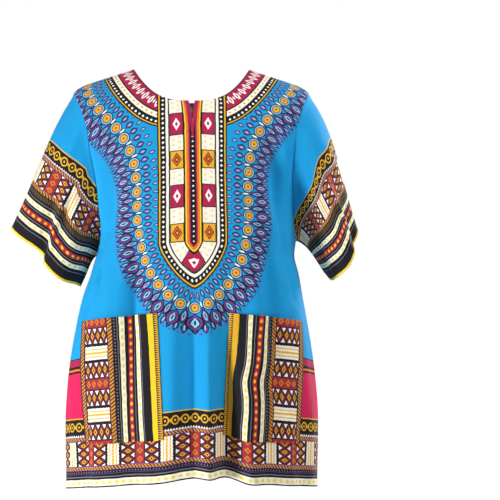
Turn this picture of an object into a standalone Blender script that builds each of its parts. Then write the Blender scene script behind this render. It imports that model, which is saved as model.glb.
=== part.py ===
"""Dashiki shirt: a hip-length cotton pullover, worn on a general standing figure.

Each piece that is cut and sewn on is one hollow wall of cloth: front, back, two
sleeves and two patch pockets. The panels are lofts between unlike sections, worked
out from the sizes below. The shoulder ridge at the neck is the origin, the front
looks along -Y and +Z is up. Metres.
"""
from collections import namedtuple
from math import pi, radians

import bmesh
import bpy
import numpy as np

# ---------------------------------------------------------------- cloth
WALL = 0.0016               # thickness of the cloth wall
POCKET_WALL = 0.0012
SEAM_GAP = 0.0003           # least space between neighbouring pieces
SEAM_SET_BACK = 0.0006      # front and back panels each keep this far from a seam
ARMHOLE_SET_BACK = 0.0012   # a sleeve starts this far out from the armhole edge

# ---------------------------------------------------------------- neck and shoulders
NECK_HALF_WIDTH = 0.1065
FRONT_NECK_DROP = 0.064
BACK_NECK_DROP = 0.056
FRONT_NECK_CURVE = 3.05     # power of the neckline: 2 is a round, more is squarer
BACK_NECK_CURVE = 2.6
SLIT_LENGTH = 0.042         # neck opening at the centre front
SLIT_HALF_WIDTH = 0.006
SHOULDER_TIP = 0.216        # half width where the sleeve is set on
SHOULDER_SLOPE = 0.325
SHOULDER_BEND_START = 0.188
SHOULDER_BEND_DROP = 0.005
SHOULDER_ROUND_FRONT = 0.085    # height over which the cloth rolls off the ridge
SHOULDER_ROUND_BACK = 0.100
SHOULDER_ROUND_POWER = 1.75     # 2 rolls off as an ellipse, less as a narrower ridge

# ---------------------------------------------------------------- levels of the rows
HEM_LEVEL = -0.745          # at the centre front
POCKET_FOOT_LEVEL = -0.668
POCKET_TOP_LEVEL = -0.442
UNDERARM_LEVEL = -0.300     # of the row that ends at the underarm, at the centre
VENT_HEIGHT = 0.042         # short vents at the foot of the side seams
VENT_HALF_WIDTH = 0.0035
GRAIN_CURVE = 1.45          # how the cross grain sinks towards the side seams
RISE_POWER = 1.5            # crowds the rows of the yoke towards the shoulder ridge
CENTRE_LEAN = 0.0065        # how far the centre of the hem hangs to the right
UNDERARM_LEAN = 0.6         # share of that lean at the underarm
LEAN_HEIGHT = 0.20          # height over which it grows to the whole below there

# ---------------------------------------------------------------- pockets
POCKET_WIDTH = 0.155
POCKET_INNER_TOP = 0.0645   # from the centre front, along the cloth
POCKET_INNER_FOOT = 0.0530
POCKET_MOUTH_PROUD = 0.0015

# ---------------------------------------------------------------- sections
ROUNDNESS = 0.85            # power of the plan sections: 1 is an ellipse, less is squarer
TURN_AT_UNDERARM = radians(90)
TURN_AT_YOKE = radians(52)  # how far round the figure a yoke row reaches
TURN_FADE = 0.35

SideSection = namedtuple("SideSection", "level left right left_sink right_sink")
SIDE_SECTIONS = (           # half widths, and how far each side hangs below the centre
    SideSection(-0.745, 0.2303, 0.2322, 0.028, 0.026),
    SideSection(-0.580, 0.2300, 0.2322, 0.030, 0.030),
    SideSection(-0.520, 0.2245, 0.2262, 0.031, 0.031),
    SideSection(-0.450, 0.2130, 0.2158, 0.031, 0.031),
    SideSection(-0.390, 0.2000, 0.2050, 0.032, 0.031),
    SideSection(-0.350, 0.1865, 0.1975, 0.034, 0.028),
    SideSection(-0.325, 0.1800, 0.1900, 0.037, 0.022),
    SideSection(-0.300, 0.1730, 0.1930, 0.040, 0.016),
)

FigureDepth = namedtuple("FigureDepth", "height front back")
FIGURE_DEPTHS = (           # how far the cloth stands in front of and behind the ridge
    FigureDepth(-0.780, 0.140, 0.124),
    FigureDepth(-0.650, 0.137, 0.119),
    FigureDepth(-0.500, 0.131, 0.112),
    FigureDepth(-0.350, 0.126, 0.108),
    FigureDepth(-0.250, 0.123, 0.114),
    FigureDepth(-0.180, 0.115, 0.113),
    FigureDepth(-0.120, 0.103, 0.102),
    FigureDepth(-0.060, 0.086, 0.082),
    FigureDepth(0.000, 0.074, 0.066),
)

ArmholePoint = namedtuple("ArmholePoint", "up left right front back")
ARMHOLE = (                 # share of the way up, half width, depth in front and behind
    ArmholePoint(0.00, 0.173, 0.193, 0.000, 0.000),
    ArmholePoint(0.05, 0.168, 0.190, 0.014, 0.016),
    ArmholePoint(0.18, 0.170, 0.186, 0.040, 0.044),
    ArmholePoint(0.34, 0.175, 0.184, 0.062, 0.068),
    ArmholePoint(0.48, 0.184, 0.187, 0.074, 0.080),
    ArmholePoint(0.60, 0.189, 0.192, 0.077, 0.082),
    ArmholePoint(0.73, 0.199, 0.201, 0.074, 0.078),
    ArmholePoint(0.88, 0.212, 0.212, 0.066, 0.066),
    ArmholePoint(1.00, 0.216, 0.216, 0.060, 0.055),
)

# ---------------------------------------------------------------- folds
# A body fold's place is a share of the row from centre (0) to side seam (-1 or 1), at
# its foot and at its head. It starts at the level `head`, is deepest at `heart` and has
# died out at `foot`. A positive depth stands out, and `lift` raises the cloth.
BodyFold = namedtuple("BodyFold", "foot_at head_at half_width depth lift head heart foot")
FRONT_FOLDS = (
    BodyFold(0.020, 0.020, 0.270, 0.002, 0.007, -0.46, -0.74, -1.30),
    BodyFold(0.210, 0.180, 0.135, -0.026, 0.006, -0.36, -0.74, -1.30),
    BodyFold(0.075, 0.060, 0.090, 0.011, -0.001, -0.34, -0.70, -1.20),
    BodyFold(0.340, 0.280, 0.110, 0.007, -0.001, -0.42, -0.74, -1.30),
    BodyFold(-0.370, -0.400, 0.130, -0.009, 0.001, -0.24, -0.42, -1.10),
    BodyFold(-0.200, -0.160, 0.120, 0.006, 0.000, -0.40, -0.72, -1.20),
    BodyFold(0.480, 0.500, 0.120, -0.010, 0.001, -0.20, -0.36, -1.00),
    BodyFold(-0.700, -0.640, 0.120, -0.009, 0.000, -0.48, -0.74, -1.30),
    BodyFold(0.720, 0.680, 0.110, -0.008, 0.000, -0.50, -0.74, -1.30),
    BodyFold(0.760, 0.760, 0.200, -0.011, 0.000, -0.08, -0.22, -0.46),
    BodyFold(-0.780, -0.780, 0.180, -0.008, 0.000, -0.10, -0.24, -0.44),
)
BACK_FOLDS = (
    BodyFold(-0.060, 0.020, 0.150, -0.018, 0.003, -0.22, -0.60, -1.30),
    BodyFold(-0.330, -0.260, 0.140, 0.012, 0.000, -0.30, -0.70, -1.30),
    BodyFold(0.270, 0.300, 0.130, 0.011, 0.000, -0.34, -0.70, -1.30),
    BodyFold(0.470, 0.420, 0.120, -0.014, 0.003, -0.30, -0.68, -1.20),
    BodyFold(-0.580, -0.520, 0.120, -0.012, 0.002, -0.36, -0.74, -1.30),
    BodyFold(0.760, 0.760, 0.200, -0.011, 0.000, -0.09, -0.24, -0.52),
    BodyFold(-0.760, -0.750, 0.200, -0.012, 0.000, -0.08, -0.22, -0.48),
)

# A sleeve fold's place is a share of the way round from the shoulder line (0) over the
# front to the underarm (1), or over the back (-1). It is deepest at the cuff, and has
# died out at the share `reach` of the way up to the armhole.
SleeveFold = namedtuple("SleeveFold", "place half_width depth drop reach")
LEFT_SLEEVE_FOLDS = (
    SleeveFold(0.42, 0.20, -0.010, -0.004, 0.75),
    SleeveFold(0.66, 0.20, 0.008, 0.005, 0.70),
    SleeveFold(-0.50, 0.24, -0.010, 0.000, 0.70),
)
RIGHT_SLEEVE_FOLDS = (
    SleeveFold(0.24, 0.17, -0.017, 0.000, 0.55),
    SleeveFold(0.52, 0.24, 0.007, 0.003, 0.60),
    SleeveFold(-0.42, 0.24, -0.011, 0.000, 0.70),
)

# A cuff is a ring through an outer and an inner corner; `front_x` and `front_z` move
# its front. `cap` swells the sleeve at the shoulder, `flare` turns it out at the cuff,
# and `kick` stands it off the side where it leaves the underarm.
Cuff = namedtuple("Cuff", "outer_x outer_z inner_x inner_z half_depth front_x front_z"
                          " cap flare kick")
LEFT_CUFF = Cuff(-0.333, -0.293, -0.204, -0.401, 0.050, 0.000, -0.003, 0.18, 0.20, 0.30)
RIGHT_CUFF = Cuff(0.308, -0.296, 0.256, -0.389, 0.072, 0.005, -0.010, 0.36, 0.00, 0.90)

# ---------------------------------------------------------------- grid
# Columns run between guides: centre, pocket's inner edge, neck corner, pocket's outer
# edge, side seam. Rows run between hem, pocket foot, pocket top, underarm, slit foot
# and top edge. These are the steps between each guide and the next.
COLUMN_STEPS = (4, 5, 5, 4)
ROW_STEPS = (3, 7, 4, 9, 4)
SLEEVE_STEPS = 10
INNER_GUIDE, NECK_GUIDE, OUTER_GUIDE, SEAM_GUIDE = 1, 2, 3, 4
POCKET_FOOT_ROW, POCKET_TOP_ROW, UNDERARM_ROW, SLIT_ROW, TOP_ROW = 1, 2, 3, 4, 5
YOKE_GUIDES = (0.0, 0.050, NECK_HALF_WIDTH, 0.172, SHOULDER_TIP)    # half widths on top
SECTION_SAMPLES = 97
DIFFERENCE = 1e-3           # step in guides and rows for a surface normal

FRONT, BACK = -1, 1         # sign of Y
LEFT, RIGHT = -1, 1         # sign of X

TURQUOISE = (0.02, 0.36, 0.78)
BLACK = (0.012, 0.012, 0.014)
CREAM = (0.86, 0.80, 0.62)


# ---------------------------------------------------------------- small helpers
def steps_between(steps):
    """Guide coordinates 0, 1, 2 ... with so many equal steps between each two."""
    runs = [np.arange(count) / count + guide for guide, count in enumerate(steps)]
    return np.concatenate(runs + [[float(len(steps))]])


def ease(share):
    """A smooth rise from 0 to 1."""
    share = np.clip(share, 0.0, 1.0)
    return share * share * (3.0 - 2.0 * share)


def read(table, column, at):
    """A column of a table, read at `at` of its first column on a smooth curve."""
    places = np.array([row[0] for row in table])
    values = np.array([getattr(row, column) for row in table])
    slopes = np.gradient(values, places)
    at = np.clip(at, places[0], places[-1])
    low = np.clip(np.searchsorted(places, at) - 1, 0, len(places) - 2)
    width = places[low + 1] - places[low]
    t = (at - places[low]) / width
    start = (1 + 2 * t) * (1 - t) ** 2 * values[low] + t * (1 - t) ** 2 * width * slopes[low]
    end = t * t * (3 - 2 * t) * values[low + 1] + t * t * (t - 1) * width * slopes[low + 1]
    return start + end


def ridge_height(x):
    """Height of the shoulder ridge at a distance x from the centre."""
    out = np.abs(x) - NECK_HALF_WIDTH
    bend = (np.abs(x) - SHOULDER_BEND_START) / (SHOULDER_TIP - SHOULDER_BEND_START)
    slope = -SHOULDER_SLOPE * np.maximum(out, 0.0)
    return slope - SHOULDER_BEND_DROP * np.clip(bend, 0.0, None) ** 2


def top_height(face, x):
    """Height of a panel's top edge: the neckline, and the ridge beyond it."""
    drop, power = {FRONT: (FRONT_NECK_DROP, FRONT_NECK_CURVE),
                   BACK: (BACK_NECK_DROP, BACK_NECK_CURVE)}[face]
    share = np.minimum(np.abs(x) / NECK_HALF_WIDTH, 1.0)
    return np.where(share < 1.0, -drop * (1.0 - share ** power), ridge_height(x))


def side_column(side):
    """The tables' column for a side."""
    return "left" if side == LEFT else "right"


def depth_column(face):
    """The tables' column for front or back."""
    return "front" if face == FRONT else "back"


# ---------------------------------------------------------------- body
def section(half_width, centre_depth, edge_depth=0.0, reach=radians(90)):
    """Plan curve from the centre to an edge: the turn round the figure, x, depth and
    the length so far. A closed row's edge is its side seam, a quarter turn away."""
    turn = np.linspace(0.0, reach, SECTION_SAMPLES)
    x, depth = section_point(turn, half_width, centre_depth, edge_depth, reach)
    run = np.concatenate([[0.0], np.cumsum(np.hypot(np.diff(x), np.diff(depth)))])
    return turn, x, depth, run


def section_point(turn, half_width, centre_depth, edge_depth, reach):
    """x and depth of a plan curve at these turns."""
    x = half_width * (np.sin(turn) / np.sin(reach)) ** ROUNDNESS
    edge = max(np.cos(reach), 0.0) ** ROUNDNESS
    bow = (np.clip(np.cos(turn), 0.0, None) ** ROUNDNESS - edge) / (1.0 - edge)
    return x, edge_depth + (centre_depth - edge_depth) * bow


def guide_shares(side, level):
    """Where the column guides cross a closed row, as shares of its length."""
    height_share = (level - POCKET_FOOT_LEVEL) / (POCKET_TOP_LEVEL - POCKET_FOOT_LEVEL)
    height_share = min(height_share, 1.0)
    inner = POCKET_INNER_FOOT + (POCKET_INNER_TOP - POCKET_INNER_FOOT) * height_share
    level = min(level, POCKET_TOP_LEVEL)
    length = section(read(SIDE_SECTIONS, side_column(side), level),
                     read(FIGURE_DEPTHS, "front", level))[3][-1]
    inner_share = inner / length
    outer_share = (inner + POCKET_WIDTH) / length
    return (0.0, inner_share, (inner_share + outer_share) / 2, outer_share, 1.0)


def lean(share, fall):
    """How far a point is carried to the right; `fall` is 0 at the neck, 1 at the hem."""
    return CENTRE_LEAN * fall * (1.0 - share) ** 2


def closed_row(face, side, columns, level):
    """Points of a row below the underarm, and each one's share of the row."""
    _, x, depth, run = section(read(SIDE_SECTIONS, side_column(side), level),
                               read(FIGURE_DEPTHS, depth_column(face), level))
    share = np.interp(columns, range(len(COLUMN_STEPS) + 1), guide_shares(side, level))
    sink = read(SIDE_SECTIONS, side_column(side) + "_sink", level)
    below = ease((UNDERARM_LEVEL - level) / LEAN_HEIGHT)
    fall = UNDERARM_LEAN + (1.0 - UNDERARM_LEAN) * below
    row_x = side * np.interp(share * run[-1], run, x) + lean(share, fall)
    row_y = face * np.interp(share * run[-1], run, depth)
    row_z = level - sink * share ** GRAIN_CURVE
    return np.stack([row_x, row_y, row_z], axis=-1), share


def slit_share():
    """Share of the way from the underarm row to the neckline where the slit starts."""
    height = -FRONT_NECK_DROP - UNDERARM_LEVEL
    return 1.0 - (SLIT_LENGTH / height) ** (1 / RISE_POWER)


def open_row(face, side, columns, up):
    """Points of a row between the armholes, `up` from the underarm row to the top."""
    foot, share = closed_row(face, side, columns, UNDERARM_LEVEL)
    top_x = np.interp(columns, range(len(YOKE_GUIDES)), YOKE_GUIDES)
    rise = 1.0 - (1.0 - up) ** RISE_POWER
    z = foot[:, 2] + (top_height(face, top_x) - foot[:, 2]) * rise

    edge_x = read(ARMHOLE, side_column(side), up)
    edge_depth = read(ARMHOLE, depth_column(face), up)
    reach = TURN_AT_UNDERARM + (TURN_AT_YOKE - TURN_AT_UNDERARM) * ease(up / TURN_FADE)
    middle_depth = read(FIGURE_DEPTHS, depth_column(face), np.mean(z))
    turns, _, _, run = section(edge_x, middle_depth, edge_depth, reach)
    width_share = share + (top_x / SHOULDER_TIP - share) * up
    turn = np.interp(width_share * run[-1], run, turns)
    flat_turn = np.arcsin(width_share ** (1 / ROUNDNESS) * np.sin(reach))
    turn = turn + (flat_turn - turn) * ease(up)
    centre_depth = read(FIGURE_DEPTHS, depth_column(face), z)
    x, depth = section_point(turn, edge_x, centre_depth, edge_depth, reach)

    roll = SHOULDER_ROUND_FRONT if face == FRONT else SHOULDER_ROUND_BACK
    below = np.clip((ridge_height(x) - z) / roll, 0.0, 1.0)
    y = depth * (1.0 - (1.0 - below) ** SHOULDER_ROUND_POWER) ** (1 / SHOULDER_ROUND_POWER)
    if face == FRONT:
        opening = np.clip((up - slit_share()) / (1.0 - slit_share()), 0.0, 1.0)
        x = x + SLIT_HALF_WIDTH * opening * np.clip(1.0 - columns, 0.0, 1.0)
    x = side * x + lean(width_share, UNDERARM_LEAN * (1.0 - up))
    return np.stack([x, face * y, z], axis=-1), share


def plain_row(face, side, columns, row):
    """A row of a panel without its folds, and each point's share of the row."""
    if row <= UNDERARM_ROW:
        levels = (HEM_LEVEL, POCKET_FOOT_LEVEL, POCKET_TOP_LEVEL, UNDERARM_LEVEL)
        return closed_row(face, side, columns, np.interp(row, range(len(levels)), levels))
    up = np.interp(row, (UNDERARM_ROW, SLIT_ROW, TOP_ROW), (0.0, slit_share(), 1.0))
    return open_row(face, side, columns, up)


def fold_push(face, side, share, height):
    """How far the folds push the cloth out, and how far they lift it."""
    out = np.zeros_like(share)
    lift = np.zeros_like(share)
    for fold in (FRONT_FOLDS if face == FRONT else BACK_FOLDS):
        along = np.clip((fold.head - height) / (fold.head - HEM_LEVEL), 0.0, 1.0)
        place = fold.head_at + (fold.foot_at - fold.head_at) * along
        growing = ease((fold.head - height) / (fold.head - fold.heart))
        dying = 1.0 - ease((fold.heart - height) / (fold.heart - fold.foot))
        across = np.clip((side * share - place) / fold.half_width, -1.0, 1.0)
        bump = (0.5 + 0.5 * np.cos(pi * across)) * growing * dying
        out += fold.depth * bump
        lift += fold.lift * bump
    return out, lift


def panel_row(face, side, columns, row):
    """A row of a panel's outer surface, folds and all."""
    points, share = plain_row(face, side, columns, row)
    inward = np.clip(columns - DIFFERENCE, 0.0, None)
    outward = np.clip(columns + DIFFERENCE, None, SEAM_GUIDE)
    across = (plain_row(face, side, outward, row)[0] - plain_row(face, side, inward, row)[0])
    low, high = max(row - DIFFERENCE, 0.0), min(row + DIFFERENCE, TOP_ROW)
    upward = (plain_row(face, side, columns, high)[0] - plain_row(face, side, columns, low)[0])
    normal = np.cross(across, upward) * side * -face
    normal[columns == 0.0, 0] = 0.0
    normal /= np.linalg.norm(normal, axis=-1, keepdims=True)
    out, lift = fold_push(face, side, share, points[:, 2])
    points = points + normal * out[:, None]
    points[:, 2] += lift
    points[:, 1] += face * seam_set_back(columns, points[:, 2])
    return points, normal


def seam_set_back(columns, heights):
    """Room between front and back: even, and growing in the side vents."""
    vent_top = HEM_LEVEL - SIDE_SECTIONS[0].left_sink + VENT_HEIGHT
    opening = np.clip((vent_top - heights) / VENT_HEIGHT, 0.0, 1.0)
    near_seam = np.clip(columns - OUTER_GUIDE, 0.0, 1.0)
    return SEAM_SET_BACK + VENT_HALF_WIDTH * opening * near_seam


# ---------------------------------------------------------------- sleeves
def armhole_edge(side, rows):
    """The armhole's points from the shoulder tip over the front to the underarm, and
    back up behind, with each one's share of the way round (-1 to 1)."""
    seam = np.array([float(SEAM_GUIDE)])
    upper = [row for row in rows if row >= UNDERARM_ROW]
    front = np.array([panel_row(FRONT, side, seam, row)[0][0] for row in reversed(upper)])
    back = np.array([panel_row(BACK, side, seam, row)[0][0] for row in reversed(upper)])
    tip = (front[0] + back[0]) / 2
    underarm = (front[-1] + back[-1]) / 2
    front[0], back[0] = tip, tip
    front[-1], back[-1] = underarm, underarm

    def run_shares(points):
        run = np.cumsum(np.linalg.norm(np.diff(points, axis=0), axis=1))
        return np.concatenate([[0.0], run / run[-1]])

    points = np.concatenate([front, back[-2:0:-1]])
    places = np.concatenate([run_shares(front), -run_shares(back)[-2:0:-1]])
    return points, places


def cuff_ring(cuff, places):
    """The cuff's points at these shares of the way round, and its outward directions."""
    outer = np.array([cuff.outer_x, 0.0, cuff.outer_z])
    inner = np.array([cuff.inner_x, 0.0, cuff.inner_z])
    centre, half = (outer + inner) / 2, (outer - inner) / 2
    front = np.array([cuff.front_x, -cuff.half_depth, cuff.front_z])
    angle = (pi * places)[:, None]
    ring = centre + half * np.cos(angle) + front * np.sin(angle)
    along, forward = half / np.linalg.norm(half), front / np.linalg.norm(front)
    return ring, along * np.cos(angle) + forward * np.sin(angle)


def sleeve_rows(side, rows, steps):
    """Rings of a sleeve's outer surface from the armhole to the cuff."""
    cuff, folds = ((LEFT_CUFF, LEFT_SLEEVE_FOLDS) if side == LEFT
                   else (RIGHT_CUFF, RIGHT_SLEEVE_FOLDS))
    start, places = armhole_edge(side, rows)
    end, outward = cuff_ring(cuff, places)
    chord = end - start
    length = np.linalg.norm(chord, axis=1, keepdims=True)
    long_axis = np.array([cuff.outer_x - cuff.inner_x, 0.0, cuff.outer_z - cuff.inner_z])
    fall = np.array([long_axis[2], 0.0, -long_axis[0]]) * side
    fall /= np.linalg.norm(fall)
    topness = (0.5 + 0.5 * np.cos(pi * places))[:, None]
    sideways = np.array([float(side), 0.0, 0.0])
    leaving = (chord / length + cuff.cap * topness * outward
               + cuff.kick * (1.0 - topness) ** 2 * sideways)
    leaving *= length / np.linalg.norm(leaving, axis=1, keepdims=True)
    arriving = chord / length + cuff.flare * topness * (fall - chord / length)
    arriving *= length / np.linalg.norm(arriving, axis=1, keepdims=True)

    shares = np.linspace(0.0, 1.0, steps + 1)
    rings = []
    for t in shares:
        first = ARMHOLE_SET_BACK / length if t == 0.0 else t
        ring = ((1 + 2 * first) * (1 - first) ** 2 * start + first * (1 - first) ** 2 * leaving
                + first * first * (3 - 2 * first) * end + first * first * (first - 1) * arriving)
        for fold in folds:
            around = np.clip((places - fold.place) / fold.half_width, -1.0, 1.0)
            bump = (0.5 + 0.5 * np.cos(pi * around)) * ease(1.0 - (1.0 - t) / fold.reach)
            ring = ring + outward * (fold.depth * bump)[:, None]
            ring = ring + fall * (fold.drop * bump)[:, None]
        rings.append(ring)
    return np.array(rings)


# ---------------------------------------------------------------- meshes
def sheet_mesh(name, grids, closed, flipped):
    """An open sheet of triangles over grids of points; grids that touch are joined."""
    mesh = bmesh.new()
    for grid, flip in zip(grids, flipped):
        rows = [[mesh.verts.new(point) for point in row] for row in grid]
        for low, high in zip(rows, rows[1:]):
            for a in range(len(low) if closed else len(low) - 1):
                b = (a + 1) % len(low)
                for corners in ((low[a], low[b], high[a]), (low[b], high[b], high[a])):
                    mesh.faces.new(corners[::-1] if flip else corners)
    bmesh.ops.remove_doubles(mesh, verts=mesh.verts, dist=1e-6)
    data = bpy.data.meshes.new(name)
    mesh.to_mesh(data)
    mesh.free()
    data.shade_smooth()
    return data


def cloth(name, grids, flipped, wall, colour, closed=False, outward=False):
    """A named piece: an open sheet with a wall, which grows inwards if not told else."""
    piece = bpy.data.objects.new(name, sheet_mesh(name, grids, closed, flipped))
    bpy.data.collections["dashiki_shirt"].objects.link(piece)
    thickness = piece.modifiers.new("Cloth wall", "SOLIDIFY")
    thickness.thickness = wall
    thickness.offset = 1.0 if outward else -1.0
    thickness.use_rim = True
    piece.data.materials.append(cotton(name + "_cotton", colour))
    return piece


def cotton(name, colour):
    """Plain printed cotton: matt and dyed through."""
    material = bpy.data.materials.new(name)
    material.use_nodes = True
    shader = material.node_tree.nodes["Principled BSDF"]
    shader.inputs["Base Color"].default_value = (*colour, 1.0)
    shader.inputs["Roughness"].default_value = 0.85
    shader.inputs["Metallic"].default_value = 0.0
    return material


def make_panel(name, face):
    """Front or back: two halves that meet at the centre, and part there at the slit."""
    columns, rows = steps_between(COLUMN_STEPS), steps_between(ROW_STEPS)
    halves = [np.array([panel_row(face, side, columns, row)[0] for row in rows])
              for side in (LEFT, RIGHT)]
    return cloth(name, halves, (LEFT != -face, RIGHT != -face), WALL, TURQUOISE)


def make_sleeve(name, side):
    """A sleeve: one tube from the armhole to the open cuff."""
    rings = sleeve_rows(side, steps_between(ROW_STEPS), SLEEVE_STEPS)
    return cloth(name, [rings], (side == LEFT,), WALL, CREAM, closed=True)


def make_pocket(name, side):
    """A patch pocket: the front's own points between the pocket guides, moved out."""
    columns = steps_between(COLUMN_STEPS)
    rows = steps_between(ROW_STEPS)
    columns = columns[(columns >= INNER_GUIDE) & (columns <= OUTER_GUIDE)]
    rows = rows[(rows >= POCKET_FOOT_ROW) & (rows <= POCKET_TOP_ROW)]
    grid = []
    for row in rows:
        points, normals = panel_row(FRONT, side, columns, row)
        proud = SEAM_GAP + POCKET_MOUTH_PROUD * ease(row - POCKET_TOP_ROW + 1.0) ** 4
        grid.append(points + normals * proud)
    return cloth(name, [np.array(grid)], (side == LEFT,), POCKET_WALL, BLACK, outward=True)


def main():
    """Clear the scene and make each piece."""
    for old in list(bpy.data.objects):
        bpy.data.objects.remove(old, do_unlink=True)
    collection = bpy.data.collections.new("dashiki_shirt")
    bpy.context.scene.collection.children.link(collection)
    make_panel("front_panel", FRONT)
    make_panel("back_panel", BACK)
    make_sleeve("sleeve_left", LEFT)
    make_sleeve("sleeve_right", RIGHT)
    make_pocket("pocket_left", LEFT)
    make_pocket("pocket_right", RIGHT)


main()
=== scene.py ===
"""Dashiki shirt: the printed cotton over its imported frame.

Every piece is one thin sheet of cloth on the form of its solid, with finer creases,
turned hems and its print. The print is worked out in cloth coordinates: how far a
point lies across the cloth from the centre, and how far up. Metres, front along -Y.
"""
from collections import namedtuple
from math import atan, pi, radians

import bpy
import numpy as np
from bpy.props import FloatProperty, FloatVectorProperty, PointerProperty
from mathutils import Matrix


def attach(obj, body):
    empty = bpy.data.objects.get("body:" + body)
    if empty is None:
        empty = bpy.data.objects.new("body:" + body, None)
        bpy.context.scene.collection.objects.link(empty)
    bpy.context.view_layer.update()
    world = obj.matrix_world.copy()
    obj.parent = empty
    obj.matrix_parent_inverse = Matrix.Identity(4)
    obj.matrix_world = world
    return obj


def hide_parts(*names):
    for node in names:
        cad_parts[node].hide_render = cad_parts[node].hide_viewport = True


bl_info = {
    "name": "Dashiki Shirt",
    "version": (1, 0, 0),
    "blender": (4, 5, 0),
    "location": "3D View > Sidebar > Shirt",
    "description": "Dresses a worn dashiki shirt in printed cotton",
    "category": "Object",
}

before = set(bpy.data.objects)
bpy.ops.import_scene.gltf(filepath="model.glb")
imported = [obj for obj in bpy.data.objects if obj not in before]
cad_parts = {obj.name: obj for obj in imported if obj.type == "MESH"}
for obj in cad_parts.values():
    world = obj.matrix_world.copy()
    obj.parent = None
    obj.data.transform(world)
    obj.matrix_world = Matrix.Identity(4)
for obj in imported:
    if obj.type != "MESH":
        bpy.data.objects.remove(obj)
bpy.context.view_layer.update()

MM = 0.001
FRONT, BACK = -1, 1         # sign of Y
LEFT, RIGHT = -1, 1         # sign of X
SIDE_COLUMN = {LEFT: "left", RIGHT: "right"}
DEPTH_COLUMN = {FRONT: "front", BACK: "back"}


def table(kind, *rows):
    """Rows with named columns."""
    return tuple(kind(*row) for row in rows)


# ---------------------------------------------------------------- the solids' sizes
NECK_HALF_WIDTH = 0.1065
FRONT_NECK_DROP = 0.064
BACK_NECK_DROP = 0.056
FRONT_NECK_CURVE = 3.05     # the higher, the squarer the neckline
BACK_NECK_CURVE = 2.6
SLIT_LENGTH = 0.042
SLIT_HALF_WIDTH = 0.006
SHOULDER_TIP = 0.216        # how far out the dropped shoulder ends
SHOULDER_SLOPE = 0.325
SHOULDER_BEND_START = 0.188         # from here out the ridge bends down as well,
SHOULDER_BEND_DROP = 0.005          # by this at the tip
SHOULDER_ROUND_FRONT = 0.085        # the cloth rounds over within this height
SHOULDER_ROUND_BACK = 0.100
SHOULDER_ROUND_POWER = 1.75
HEM_LEVEL = -0.745          # levels are heights of a row at the centre
POCKET_FOOT_LEVEL = -0.668
POCKET_TOP_LEVEL = -0.442
UNDERARM_LEVEL = -0.300
LEVELS = HEM_LEVEL, POCKET_FOOT_LEVEL, POCKET_TOP_LEVEL, UNDERARM_LEVEL
VENT_HEIGHT = 0.042
VENT_HALF_WIDTH = 0.0035
GRAIN_CURVE = 1.45          # a row sinks towards its seam, slowly at first
RISE_POWER = 1.5            # rows lie closer together towards the neckline
CENTRE_LEAN = 0.0065        # how far right the centre has strayed at the hem,
UNDERARM_LEAN = 0.6         # and its share of that at the underarm
LEAN_HEIGHT = 0.20
POCKET_WIDTH = 0.155
POCKET_HEIGHT = POCKET_TOP_LEVEL - POCKET_FOOT_LEVEL
POCKET_INNER_TOP = 0.0645   # from the centre to the pocket's inner edge
POCKET_INNER_FOOT = 0.0530
ROUNDNESS = 0.85            # of a row seen from above: at 1 it is an ellipse
TURN_AT_UNDERARM = radians(90)      # how much of that curve a row follows,
TURN_AT_YOKE = radians(52)          # and higher up,
TURN_FADE = 0.35                    # from this share of the way to the neckline on

# Half widths of the rows below the armholes, and how far a row sinks at its seam.
SideSection = namedtuple("SideSection", "level left right left_sink right_sink")
SIDE_SECTIONS = table(
    SideSection,
    (-0.745, 0.2303, 0.2322, 0.028, 0.026),
    (-0.580, 0.2300, 0.2322, 0.030, 0.030),
    (-0.520, 0.2245, 0.2262, 0.031, 0.031),
    (-0.450, 0.2130, 0.2158, 0.031, 0.031),
    (-0.390, 0.2000, 0.2050, 0.032, 0.031),
    (-0.350, 0.1865, 0.1975, 0.034, 0.028),
    (-0.325, 0.1800, 0.1900, 0.037, 0.022),
    (-0.300, 0.1730, 0.1930, 0.040, 0.016))

# How far front and back stand out from the shoulder line at each height.
FigureDepth = namedtuple("FigureDepth", "height front back")
FIGURE_DEPTHS = table(
    FigureDepth,
    (-0.780, 0.140, 0.124),
    (-0.650, 0.137, 0.119),
    (-0.500, 0.131, 0.112),
    (-0.350, 0.126, 0.108),
    (-0.250, 0.123, 0.114),
    (-0.180, 0.115, 0.113),
    (-0.120, 0.103, 0.102),
    (-0.060, 0.086, 0.082),
    (0.000, 0.074, 0.066))

# The armhole's edge from the underarm up to the shoulder tip.
ArmholePoint = namedtuple("ArmholePoint", "up left right front back")
ARMHOLE = table(
    ArmholePoint,
    (0.00, 0.173, 0.193, 0.000, 0.000),
    (0.05, 0.168, 0.190, 0.014, 0.016),
    (0.18, 0.170, 0.186, 0.040, 0.044),
    (0.34, 0.175, 0.184, 0.062, 0.068),
    (0.48, 0.184, 0.187, 0.074, 0.080),
    (0.60, 0.189, 0.192, 0.077, 0.082),
    (0.73, 0.199, 0.201, 0.074, 0.078),
    (0.88, 0.212, 0.212, 0.066, 0.066),
    (1.00, 0.216, 0.216, 0.060, 0.055))

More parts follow.
